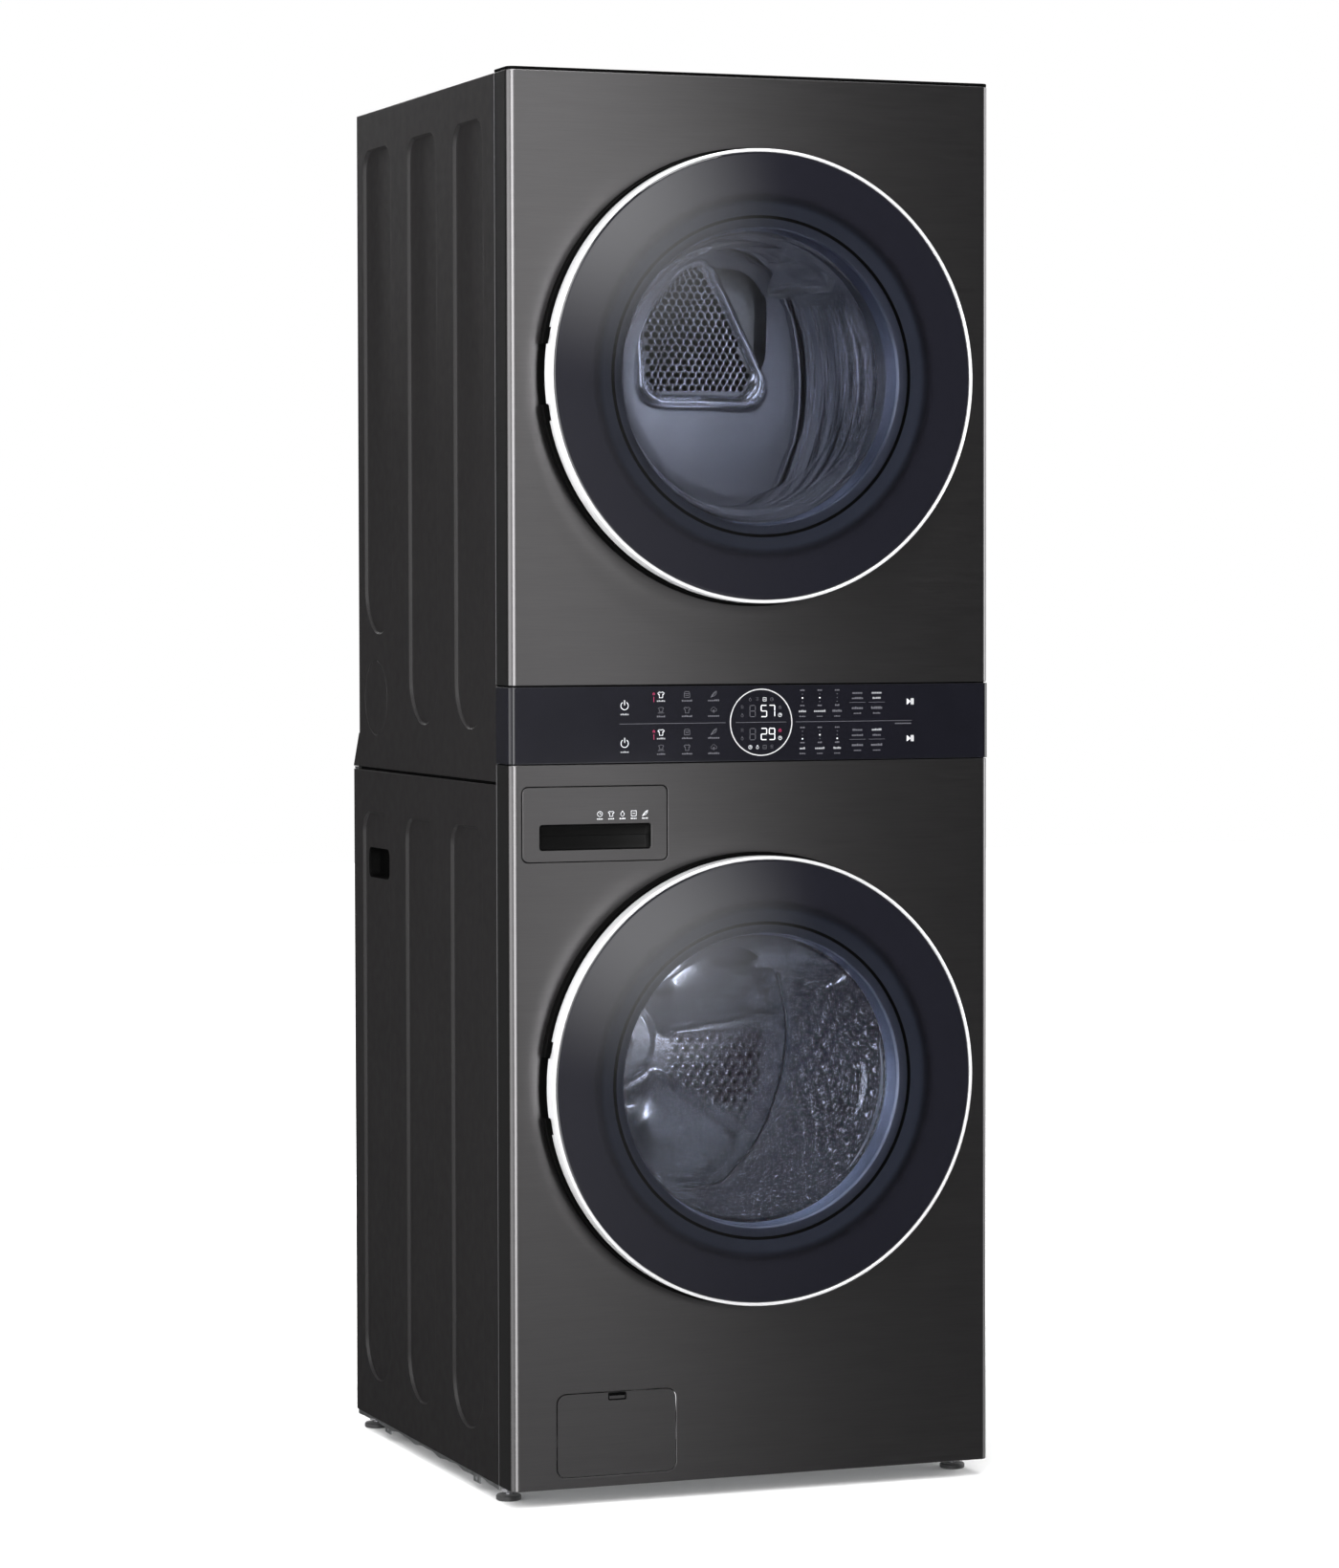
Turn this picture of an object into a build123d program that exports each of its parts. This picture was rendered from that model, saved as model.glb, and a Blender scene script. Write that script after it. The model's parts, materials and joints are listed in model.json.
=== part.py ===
"""Washer dryer stack: a front-loading washer with a vented dryer above it in one tall cabinet.

Row frame, millimetres: +Z up, +X to the user's right, the doors face -Y.
The origin is on the floor, in the middle of the machine's width and depth.
"""
from build123d import *
import os

os.makedirs("parts", exist_ok=True)

# ---------------------------------------------------------------- driving dimensions
SHEET = 1.2                 # cabinet sheet metal
GAP = 0.3                   # working gap between neighbouring covers
HALF_WIDTH = 342.5          # side panels, outside
BAND_HALF_WIDTH = 343.0     # control band, a little proud of the sides
FRONT_Y = -341.5            # face of the front panels
SEAM_Y = -287.5             # joint between front panels and side panels
DOOR_FRONT_Y = -385.5       # front of the door rings
DRYER_REAR_Y = 330.5
WASHER_REAR_Y = 358.5
BACK_Y = 385.5              # end of the exhaust outlet
TOP_Z = 1889.0
SIDE_TOP_Z = 1885.0
CABINET_BOTTOM_Z = 23.0
WASHER_SIDE_TOP_Z = 952.0
DRYER_SIDE_BOTTOM_Z = 956.0
BAND_BOTTOM_Z, BAND_TOP_Z = 980.5, 1081.5
DRYER_FRONT_BOTTOM_Z = 1082.5
SLANT_TOP_Z = 1004.0
FLOOR_Z = 26.0              # top of the base frame's plate
SHELF_Z = 960.0             # top of the deck that carries the dryer
EDGE_RADIUS = 11.0          # rounded vertical edges of the front panels
INSIDE_X = HALF_WIDTH - SHEET - GAP

WASHER_DOOR_Z = 556.9
DRYER_DOOR_Z = 1489.4
PANEL_HOLE_RADIUS = 245.0
HINGE_X, HINGE_Y = 288.0, -362.0
HINGE_PIN_RADIUS = 3.0
RUNNING = 0.05              # radial clearance of a shaft in its bearing

DRUM_Z = WASHER_DOOR_Z
WASHER_DRUM_RADIUS = 265.0
WASHER_SHAFT_RADIUS = 20.0
DRYER_DRUM_Z = 1510.0
DRYER_DRUM_RADIUS = 318.0
ROLLER_RADIUS = 35.0
ROLLER_ANGLE = 35.0         # of each roller from straight down, degrees
MOTOR_X, MOTOR_Z = -180.0, 1135.0
MOTOR_SHAFT_RADIUS = 6.0
PULLEY_RADIUS = 14.0
IDLER_X, IDLER_Z, IDLER_RADIUS = 90.0, 1150.0, 25.0
BELT_Y = (150.0, 158.0)
EXHAUST_Z, EXHAUST_RADIUS = 1055.0, 50.0
OUTLET_Y = 333.5            # start of the outlet that takes the exhaust hose

DRAWER_X, DRAWER_Z = (-325.0, -123.0), (852.0, 950.0)
FILTER_X, FILTER_Z = (-279.0, -113.0), (38.5, 148.0)
FILTER_CAP_X, FILTER_CAP_Z = -196.0, 95.0


# ---------------------------------------------------------------- shape helpers
def write(piece, name):
    """Label a finished piece and write it to its own STEP file."""
    piece.part.label = name
    export_step(piece.part, f"parts/{name}.step")


def at_y(y):
    """The upright plane across the machine at a depth; its normal points to the front."""
    return Plane.XZ.offset(-y)


def block(x, y, z, mode=Mode.ADD):
    """A box between a low and a high limit on each axis."""
    with Locations(((x[0] + x[1]) / 2, (y[0] + y[1]) / 2, (z[0] + z[1]) / 2)):
        Box(x[1] - x[0], y[1] - y[0], z[1] - z[0], mode=mode)


def bar(x, z, radius, y, mode=Mode.ADD):
    """A round bar or hole along Y between two depths."""
    with Locations((x, (y[0] + y[1]) / 2, z)):
        Cylinder(radius, y[1] - y[0], rotation=(90, 0, 0), mode=mode)


def post(x, y, radius, z, mode=Mode.ADD):
    """A round post or hole along Z between two heights."""
    with Locations((x, y, (z[0] + z[1]) / 2)):
        Cylinder(radius, z[1] - z[0], mode=mode)


def turn(outline, centre_z, mode=Mode.ADD):
    """Revolve an outline of (radius, y) points about the line along Y at one height."""
    with BuildSketch(Plane.XY.offset(centre_z)) as section:
        with BuildLine():
            Polyline(*outline, close=True)
        make_face()
    revolve(section.sketch, axis=Axis((0, 0, centre_z), (0, 1, 0)), mode=mode)


def slab(x, z, y, radius, mode=Mode.ADD):
    """A plate across the machine with rounded corners, between two depths."""
    with BuildSketch(at_y(y[1])) as outline:
        with Locations(((x[0] + x[1]) / 2, (z[0] + z[1]) / 2)):
            RectangleRounded(x[1] - x[0], z[1] - z[0], radius)
    extrude(outline.sketch, amount=y[1] - y[0], mode=mode)


def plan_shell(half_width, front_y, radius, thickness, z):
    """A U-shaped skin in plan: a face with two rounded edges and two returns to the seam."""
    depth = SEAM_Y - front_y
    with BuildSketch(Plane.XY.offset(z[0])) as plan:
        with Locations((0, front_y + depth)):
            Rectangle(2 * half_width, 2 * depth)
        fillet(plan.vertices(), radius)
        with Locations((0, front_y + depth)):
            RectangleRounded(2 * (half_width - thickness), 2 * (depth - thickness),
                             radius - thickness, mode=Mode.SUBTRACT)
        with Locations((0, SEAM_Y + depth)):
            Rectangle(3 * half_width, 2 * depth, mode=Mode.SUBTRACT)
    extrude(plan.sketch, amount=z[1] - z[0])


def mirrored_x(*xs):
    """Each position and its mirror image across the machine's middle."""
    return [side * x for x in xs for side in (-1, 1)]


# ---------------------------------------------------------------- base and feet
FOOT_PLACES = [(x, y) for x in (-322.0, 322.0) for y in (-266.5, 328.5)]
RAIL = 31.0
with BuildPart() as base_frame:
    block((-INSIDE_X, INSIDE_X), (-330, 356), (FLOOR_Z - 2, 60))
    block((2 - INSIDE_X, INSIDE_X - 2), (-328, 354), (FLOOR_Z, 60), mode=Mode.SUBTRACT)
    block((RAIL - INSIDE_X, INSIDE_X - RAIL), (-180, -130), (0, 60), mode=Mode.SUBTRACT)
    block((RAIL - INSIDE_X, INSIDE_X - RAIL), (-60, 80), (0, 60), mode=Mode.SUBTRACT)
    block((RAIL - INSIDE_X, INSIDE_X - RAIL), (160, 320), (0, 60), mode=Mode.SUBTRACT)
    for foot_x, foot_y in FOOT_PLACES:
        post(foot_x, foot_y, 6, (0, 60), mode=Mode.SUBTRACT)
    # Transport tabs that hang below the side rails, each with a bolt hole
    for tab_y in (-188.5, 212.5):
        for tab_x in mirrored_x(INSIDE_X - 1):
            block((tab_x - 1, tab_x + 1), (tab_y - 13, tab_y + 13), (11, FLOOR_Z))
            with Locations((tab_x, tab_y, 17)):
                Cylinder(3.5, 4, rotation=(0, 90, 0), mode=Mode.SUBTRACT)
write(base_frame, "base_frame")

with BuildPart() as levelling_feet:
    for foot_x, foot_y in FOOT_PLACES:
        post(foot_x, foot_y, 17, (0, 8))
        post(foot_x, foot_y, 12, (8, 12))
        post(foot_x, foot_y, 5, (12, 50))
        with BuildSketch(Plane.XY.offset(FLOOR_Z)):
            with Locations((foot_x, foot_y)):
                RegularPolygon(9, 6)
        extrude(amount=6)
write(levelling_feet, "levelling_feet")


# ---------------------------------------------------------------- side panels
RIB_DEPTH = 2.8
WASHER_RIBS = ((187.5, 315.5), (-15.5, 112.5), (-226.5, -90.5))
DRYER_RIBS = ((168.5, 299.5, 1146), (-38.5, 92.5, 1023), (-239.5, -111.5, 1022))
VENT_PLACE, VENT_RADIUS = (248.5, 1056.0), 53.5


def side_plate(side, outline):
    """One flat side panel, its outline given as (y, z) points."""
    outer = side * HALF_WIDTH
    with BuildSketch(Plane.YZ.offset(outer)) as plate:
        with BuildLine():
            Polyline(*outline, close=True)
        make_face()
    extrude(plate.sketch, amount=-side * SHEET)


def side_rib(side, y, z):
    """A stiffening recess pressed into a side, round at the bottom and nearly square on top."""
    for start, depth, margin, mode in ((SHEET, RIB_DEPTH, SHEET, Mode.ADD),
                                       (0, RIB_DEPTH, 0, Mode.SUBTRACT)):
        width = y[1] - y[0] + 2 * margin
        with BuildSketch(Plane.YZ.offset(side * (HALF_WIDTH - start))) as rib:
            with Locations(((y[0] + y[1]) / 2, (z[0] + z[1]) / 2)):
                Rectangle(width, z[1] - z[0] + 2 * margin)
            fillet(rib.vertices().group_by(Axis.Y)[0], width / 2 - 1)
            fillet(rib.vertices().group_by(Axis.Y)[-1], 30 + margin)
        extrude(rib.sketch, amount=-side * depth, mode=mode)


HAND_HOLD_Y, HAND_HOLD_Z, HAND_HOLD_DEPTH = (202.0, 298.0), (800.0, 841.0), 20.0


def hand_hold(side):
    """A pocket pressed into the rear recess of a side, for the hands that lift the machine."""
    for margin, floor, mouth, mode in ((SHEET, HAND_HOLD_DEPTH, RIB_DEPTH + SHEET / 2, Mode.ADD),
                                       (0, HAND_HOLD_DEPTH - SHEET, -1, Mode.SUBTRACT)):
        x = sorted((side * (HALF_WIDTH - floor), side * (HALF_WIDTH - mouth)))
        block(x, (HAND_HOLD_Y[0] - margin, HAND_HOLD_Y[1] + margin),
              (HAND_HOLD_Z[0] - margin, HAND_HOLD_Z[1] + margin), mode=mode)


with BuildPart() as washer_side_panels:
    for side in (-1, 1):
        side_plate(side, [(SEAM_Y + GAP, CABINET_BOTTOM_Z), (WASHER_REAR_Y, CABINET_BOTTOM_Z),
                          (WASHER_REAR_Y, WASHER_SIDE_TOP_Z), (SEAM_Y + GAP, WASHER_SIDE_TOP_Z)])
        for rib_y in WASHER_RIBS:
            side_rib(side, rib_y, (79, 893))
        hand_hold(side)
write(washer_side_panels, "washer_side_panels")

with BuildPart() as dryer_side_panels:
    for side in (-1, 1):
        side_plate(side, [(SEAM_Y + GAP, DRYER_SIDE_BOTTOM_Z), (DRYER_REAR_Y, DRYER_SIDE_BOTTOM_Z),
                          (DRYER_REAR_Y, SIDE_TOP_Z), (SEAM_Y + GAP, SIDE_TOP_Z)])
        for rib_low, rib_high, rib_bottom in DRYER_RIBS:
            side_rib(side, (rib_low, rib_high), (rib_bottom, 1832))
        # Score line of the knock-out for a side exhaust
        with BuildSketch(Plane.YZ.offset(side * HALF_WIDTH)) as score:
            with Locations(VENT_PLACE):
                Circle(VENT_RADIUS)
                Circle(VENT_RADIUS - 1.6, mode=Mode.SUBTRACT)
        extrude(score.sketch, amount=-side * SHEET / 2, mode=Mode.SUBTRACT)
write(dryer_side_panels, "dryer_side_panels")


# ---------------------------------------------------------------- rear panels, deck and top
VALVE_PLACES, VALVE_Z, VALVE_RADIUS = (-250.0, -190.0), 905.0, 13.2
VALVE_COLLAR_Y = 361.0      # the hose fitting starts here
GLAND_X, GLAND_Z, GLAND_RADIUS = 250.0, 1068.0, 11.0
with BuildPart() as washer_rear_panel:
    block((-INSIDE_X, INSIDE_X), (WASHER_REAR_Y - SHEET, WASHER_REAR_Y), (CABINET_BOTTOM_Z, 955))
    # Raised round service area behind the motor
    bar(0, DRUM_Z, 190, (WASHER_REAR_Y - SHEET, WASHER_REAR_Y + 6))
    bar(0, DRUM_Z, 190 - SHEET, (WASHER_REAR_Y - SHEET, WASHER_REAR_Y + 6 - SHEET),
        mode=Mode.SUBTRACT)
    for valve_x in VALVE_PLACES:
        bar(valve_x, VALVE_Z, VALVE_RADIUS + 0.8, (300, 400), mode=Mode.SUBTRACT)
write(washer_rear_panel, "washer_rear_panel")

WEDGE_HALF, WEDGE_END = HALF_WIDTH, 1.0
with BuildPart() as rear_slant_cover:
    with BuildSketch(Plane.YZ.offset(-WEDGE_HALF)) as wedge:
        with BuildLine():
            Polyline((DRYER_REAR_Y + GAP, 956), (WASHER_REAR_Y, 956), (WASHER_REAR_Y, 958),
                     (DRYER_REAR_Y + 2, SLANT_TOP_Z), (DRYER_REAR_Y + GAP, SLANT_TOP_Z), close=True)
        make_face()
    extrude(wedge.sketch, amount=2 * WEDGE_HALF)
    with BuildSketch(Plane.YZ.offset(WEDGE_END - WEDGE_HALF)) as hollow:
        with BuildLine():
            Polyline((DRYER_REAR_Y - 1, 955), (WASHER_REAR_Y - SHEET, 955), (WASHER_REAR_Y - SHEET, 957.3),
                     (DRYER_REAR_Y + 1.3, SLANT_TOP_Z - SHEET), (DRYER_REAR_Y - 1, SLANT_TOP_Z - SHEET),
                     close=True)
        make_face()
    extrude(hollow.sketch, amount=2 * (WEDGE_HALF - WEDGE_END), mode=Mode.SUBTRACT)
write(rear_slant_cover, "rear_slant_cover")

with BuildPart() as dryer_rear_panel:
    block((-INSIDE_X, INSIDE_X), (DRYER_REAR_Y - SHEET, DRYER_REAR_Y),
          (SLANT_TOP_Z + GAP, SIDE_TOP_Z - SHEET - GAP))
    bar(0, EXHAUST_Z, EXHAUST_RADIUS + 1, (300, 400), mode=Mode.SUBTRACT)
    # Terminal box with a gland for the supply lead
    block((205, 300), (DRYER_REAR_Y, DRYER_REAR_Y + 14), (1040, 1170))
    block((207, 298), (DRYER_REAR_Y - SHEET, DRYER_REAR_Y + 12), (1042, 1168), mode=Mode.SUBTRACT)
    bar(GLAND_X, GLAND_Z, GLAND_RADIUS + 4, (DRYER_REAR_Y + 12, DRYER_REAR_Y + 24))
    bar(GLAND_X, GLAND_Z, GLAND_RADIUS, (DRYER_REAR_Y, DRYER_REAR_Y + 30), mode=Mode.SUBTRACT)
write(dryer_rear_panel, "dryer_rear_panel")

with BuildPart() as centre_shelf:
    block((-INSIDE_X, INSIDE_X), (SEAM_Y + 1, 350), (SHELF_Z - 2, SHELF_Z))
    for rail_x in mirrored_x(INSIDE_X - 1):
        block((rail_x - 1, rail_x + 1), (SEAM_Y + 1, 322), (SHELF_Z, 990))
write(centre_shelf, "centre_shelf")

with BuildPart() as top_panel:
    block((-INSIDE_X, INSIDE_X), (SEAM_Y + 1, DRYER_REAR_Y), (SIDE_TOP_Z - SHEET, SIDE_TOP_Z))
    block((-INSIDE_X, INSIDE_X), (SEAM_Y + 1, SEAM_Y + 1 + SHEET), (SIDE_TOP_Z - 18, SIDE_TOP_Z))
write(top_panel, "top_panel")

with BuildPart() as cabinet_screws:
    for screw_x in mirrored_x(325, 110):
        for screw_z in (60, 945):
            bar(screw_x, screw_z, 4.5, (WASHER_REAR_Y, WASHER_REAR_Y + 2.2))
        for screw_z in (1020, 1450, 1872):
            bar(screw_x, screw_z, 4.5, (DRYER_REAR_Y, DRYER_REAR_Y + 2.2))
write(cabinet_screws, "cabinet_screws")


# ---------------------------------------------------------------- front panels
HOOK_SLOT_X = (-271.0, -249.0)


def door_cutouts(door_z):
    """The round opening and the slot for the door's latch hook in a front panel."""
    bar(0, door_z, PANEL_HOLE_RADIUS, (FRONT_Y - 5, FRONT_Y + 5), mode=Mode.SUBTRACT)
    block(HOOK_SLOT_X, (FRONT_Y - 5, FRONT_Y + 5), (door_z - 13, door_z + 13), mode=Mode.SUBTRACT)


with BuildPart() as washer_front_panel:
    plan_shell(HALF_WIDTH, FRONT_Y, EDGE_RADIUS, SHEET, (CABINET_BOTTOM_Z, BAND_BOTTOM_Z - GAP))
    door_cutouts(WASHER_DOOR_Z)
    slab((DRAWER_X[0] - 1, DRAWER_X[1] + 1), (DRAWER_Z[0] - 1, DRAWER_Z[1] + 1),
         (FRONT_Y - 5, FRONT_Y + 5), 9, mode=Mode.SUBTRACT)
    slab((FILTER_X[0] - 1, FILTER_X[1] + 1), (FILTER_Z[0] - 1, FILTER_Z[1] + 1),
         (FRONT_Y - 5, FRONT_Y + 5), 13, mode=Mode.SUBTRACT)
write(washer_front_panel, "washer_front_panel")

with BuildPart() as dryer_front_panel:
    plan_shell(HALF_WIDTH, FRONT_Y, EDGE_RADIUS, SHEET, (DRYER_FRONT_BOTTOM_Z, TOP_Z - SHEET))
    with BuildSketch(Plane.XY.offset(TOP_Z - SHEET)) as top_edge:
        with Locations((0, SEAM_Y)):
            RectangleRounded(2 * HALF_WIDTH, 2 * (SEAM_Y - FRONT_Y), EDGE_RADIUS)
            Rectangle(3 * HALF_WIDTH, 3 * (SEAM_Y - FRONT_Y), align=(Align.CENTER, Align.MIN),
                      mode=Mode.SUBTRACT)
    extrude(top_edge.sketch, amount=SHEET)
    door_cutouts(DRYER_DOOR_Z)
write(dryer_front_panel, "dryer_front_panel")

BEZEL_FRONT_Y = -347.0
GRIP_HALF, GRIP_X = 39.0, (-296.4, -274.0)
BRACKET_X, BRACKET_HALF = (258.0, 296.0), 36.0
with BuildPart() as door_bezels:
    for door_z in (WASHER_DOOR_Z, DRYER_DOOR_Z):
        turn([(222, BEZEL_FRONT_Y), (301, BEZEL_FRONT_Y), (303, BEZEL_FRONT_Y + 2),
              (303, FRONT_Y - GAP), (243, FRONT_Y - GAP), (243, -338), (222, -338)], door_z)
        block((BRACKET_X[0] - 1, 310), (-350, -330), (door_z - BRACKET_HALF - 2,
              door_z + BRACKET_HALF + 2), mode=Mode.SUBTRACT)
        block(HOOK_SLOT_X, (-350, -330), (door_z - 13, door_z + 13), mode=Mode.SUBTRACT)
        # Scoop behind the door's pull, for the fingers
        block((-310, GRIP_X[1]), (-350, -344), (door_z - GRIP_HALF, door_z + GRIP_HALF),
              mode=Mode.SUBTRACT)
write(door_bezels, "door_bezels")

KNUCKLE_RADIUS, KNUCKLE_HALF = 5.0, 13.5
with BuildPart() as hinge_brackets:
    for door_z in (WASHER_DOOR_Z, DRYER_DOOR_Z):
        block(BRACKET_X, (-345, FRONT_Y - 0.1), (door_z - BRACKET_HALF, door_z + BRACKET_HALF))
        block((HINGE_X - 2, HINGE_X + 2), (HINGE_Y, -345), (door_z - KNUCKLE_HALF, door_z + KNUCKLE_HALF))
        post(HINGE_X, HINGE_Y, KNUCKLE_RADIUS, (door_z - KNUCKLE_HALF, door_z + KNUCKLE_HALF))
        post(HINGE_X, HINGE_Y, HINGE_PIN_RADIUS + RUNNING,
             (door_z - KNUCKLE_HALF, door_z + KNUCKLE_HALF), mode=Mode.SUBTRACT)
write(hinge_brackets, "hinge_brackets")

with BuildPart() as door_locks:
    for door_z in (WASHER_DOOR_Z, DRYER_DOOR_Z):
        block((-280, -246), (-340, -306), (door_z - 40, door_z + 40))
        block(HOOK_SLOT_X, (-340, -316), (door_z - 13, door_z + 13), mode=Mode.SUBTRACT)
write(door_locks, "door_locks")


# ---------------------------------------------------------------- control band
RING_X, RING_Z, RING_RADIUS, RING_HALF_WIRE = 10.5, 1032.0, 44.0, 0.7
BAND_FACE_Y = FRONT_Y - 0.5
with BuildPart() as control_fascia:
    plan_shell(BAND_HALF_WIDTH, BAND_FACE_Y, 4, 2.2, (BAND_BOTTOM_Z, BAND_TOP_Z))
    bar(RING_X, RING_Z, RING_RADIUS + RING_HALF_WIRE + 0.2, (BAND_FACE_Y - 1, BAND_FACE_Y + 1),
        mode=Mode.SUBTRACT)
    bar(RING_X, RING_Z, RING_RADIUS - RING_HALF_WIRE - 0.2, (BAND_FACE_Y, BAND_FACE_Y + 1))
write(control_fascia, "control_fascia")

with BuildPart() as control_carrier:
    block((-340, 340), (-339.4, -290), (BAND_BOTTOM_Z, BAND_TOP_Z))
    block((-337.5, 337.5), (-336.9, -280), (BAND_BOTTOM_Z + 2.5, BAND_TOP_Z - 2.5), mode=Mode.SUBTRACT)
write(control_carrier, "control_carrier")

with BuildPart() as display_ring:
    bar(RING_X, RING_Z, RING_RADIUS + RING_HALF_WIRE, (BAND_FACE_Y - 0.4, BAND_FACE_Y + 0.9))
    bar(RING_X, RING_Z, RING_RADIUS - RING_HALF_WIRE, (BAND_FACE_Y - 1, BAND_FACE_Y + 2),
        mode=Mode.SUBTRACT)
write(display_ring, "display_ring")


# ---------------------------------------------------------------- doors
RING_OUTER, GLASS_RADIUS = 299.0, 294.0
NOTCH = 22.0                # length of each gap beside the pull in the ring's rear edge


def make_door(name, door_z, bowl_back_y):
    """One round door: outer glass, chrome ring, frame, inner glass bowl and its steel hardware."""
    low, high = door_z - GRIP_HALF, door_z + GRIP_HALF

    with BuildPart() as glass:
        turn([(0, -384.6), (150, -384.5), (292.5, -384.0), (GLASS_RADIUS, -382.8),
              (GLASS_RADIUS, -379.5), (0, -379.5)], door_z)
    write(glass, f"{name}_glass")

    with BuildPart() as ring:
        turn([(294.3, -385.0), (295, DOOR_FRONT_Y), (298, DOOR_FRONT_Y), (RING_OUTER, -384.5),
              (RING_OUTER, -358.5), (296.5, -358.5), (296.5, -376.2), (286, -376.2),
              (286, -379.2), (294.3, -379.2)], door_z)
        block((279, 305), (-371, -350), (door_z - 30, door_z + 30), mode=Mode.SUBTRACT)
        # The pull: a stretch of the rear edge, a little deeper, between two gaps
        with BuildSketch(at_y(-358.5)) as pull:
            with Locations((0, door_z)):
                Circle(RING_OUTER)
                Circle(RING_OUTER - 2.5, mode=Mode.SUBTRACT)
            with Locations((-RING_OUTER, door_z)):
                Rectangle(60, 2 * GRIP_HALF, mode=Mode.INTERSECT)
        extrude(pull.sketch, amount=-3.5)
        for gap_low in (low - NOTCH, high):
            block((-305, -280), (-367.5, -350), (gap_low, gap_low + NOTCH), mode=Mode.SUBTRACT)
    write(ring, f"{name}_ring")

    with BuildPart() as frame:
        turn([(208, -376), (212, -376), (212, -355), (284, -355), (284, -376), (288, -376),
              (288, -358.5), (297, -358.5), (297, -351.5), (208, -351.5), (208, -363.5),
              (203, -363.5), (203, -366.5), (208, -366.5)], door_z)
        with BuildSketch(at_y(-351.5)) as flange:
            with Locations((-3, door_z)):
                Circle(300)
                Circle(286, mode=Mode.SUBTRACT)
        extrude(flange.sketch, amount=7)
        # Finger pocket on the latch side
        block((-286, GRIP_X[1] + 3), (-376, -351.5), (low - 3, high + 3))
        block((-310, GRIP_X[1]), (-373, -350), (low - 1, high + 1), mode=Mode.SUBTRACT)
        # Room for the hinge leaf
        block((279, 305), (-371, -350), (door_z - 30, door_z + 30), mode=Mode.SUBTRACT)
    write(frame, f"{name}_frame")

    wall_back = bowl_back_y - 12
    with BuildPart() as bowl:
        turn([(197, -372), (207, -372), (207, -367), (202, -367), (180, wall_back),
              (172, bowl_back_y - 4), (160, bowl_back_y), (0, bowl_back_y + 6), (0, bowl_back_y + 1),
              (159, bowl_back_y - 5), (168, bowl_back_y - 8), (175, wall_back - 2), (197, -367)], door_z)
    write(bowl, f"{name}_bowl")

    with BuildPart() as hardware:
        block((232, HINGE_X), (-359, -355.1), (door_z - 26, door_z + 26))
        block((281, 295), (-370, -350), (door_z - 14, door_z + 14), mode=Mode.SUBTRACT)
        for knuckle in ((door_z - 26, door_z - 14), (door_z + 14, door_z + 26)):
            post(HINGE_X, HINGE_Y, KNUCKLE_RADIUS, knuckle)
        post(HINGE_X, HINGE_Y, HINGE_PIN_RADIUS, (door_z - 26, door_z + 26))
        # Latch hook
        block((-262, -254), (-351.4, -322), (door_z - 8, door_z + 8))
        block((-268, -254), (-330, -322), (door_z - 8, door_z + 8))
        block((-273, -250), (-351.4, -349.6), (door_z - 10, door_z + 10))
    write(hardware, f"{name}_hardware")


make_door("washer_door", WASHER_DOOR_Z, -240)
make_door("dryer_door", DRYER_DOOR_Z, -285)


# ---------------------------------------------------------------- detergent drawer
with BuildPart() as drawer_front:
    slab(DRAWER_X, DRAWER_Z, (FRONT_Y, -329.5), 8)
    slab((-301, -146), (867, 901), (FRONT_Y - 1, -333), 4, mode=Mode.SUBTRACT)
write(drawer_front, "drawer_front")

TRAY_X, TRAY_Y, TRAY_Z = (-316.0, -132.0), (-329.4, -95.0), (859.0, 928.0)
with BuildPart() as drawer_tray:
    block(TRAY_X, TRAY_Y, TRAY_Z)
    for cup_x in ((-313.5, -257), (-254.5, -193.5), (-191, -134.5)):
        block(cup_x, (-320, -97.5), (861.5, 940), mode=Mode.SUBTRACT)
write(drawer_tray, "drawer_tray")

with BuildPart() as dispenser_housing:
    block((-323, -125), (-329, -72), (DRAWER_Z[0] + 1, DRAWER_Z[1]))
    block((-320.5, -127.5), (-330, -74.5), (DRAWER_Z[0] + 3.5, DRAWER_Z[1] - 2.5), mode=Mode.SUBTRACT)
write(dispenser_housing, "dispenser_housing")

with BuildPart() as water_valves:
    for valve_x in VALVE_PLACES:
        block((valve_x - 20, valve_x + 20), (318, WASHER_REAR_Y - SHEET), (VALVE_Z - 25, VALVE_Z + 25))
        bar(valve_x, VALVE_Z, VALVE_RADIUS - 1, (WASHER_REAR_Y - SHEET, 383))
        bar(valve_x, VALVE_Z, 17, (WASHER_REAR_Y + GAP, VALVE_COLLAR_Y))
        bar(valve_x, VALVE_Z, VALVE_RADIUS, (VALVE_COLLAR_Y, 383))
        bar(valve_x, VALVE_Z, 9, (350, 390), mode=Mode.SUBTRACT)
write(water_valves, "water_valves")


# ---------------------------------------------------------------- pump, filter and its cover
FILTER_BORE = 28.0
with BuildPart() as drain_pump:
    bar(FILTER_CAP_X, FILTER_CAP_Z, 34, (-316, -235))
    bar(FILTER_CAP_X, FILTER_CAP_Z, 40, (-235, -165))
    bar(FILTER_CAP_X, FILTER_CAP_Z, FILTER_BORE + 0.4, (-316, -237), mode=Mode.SUBTRACT)
    block((-214, -178), (-300, -240), (FLOOR_Z, 63))
    post(FILTER_CAP_X, -200, 12, (130, 175))
write(drain_pump, "drain_pump")

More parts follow.
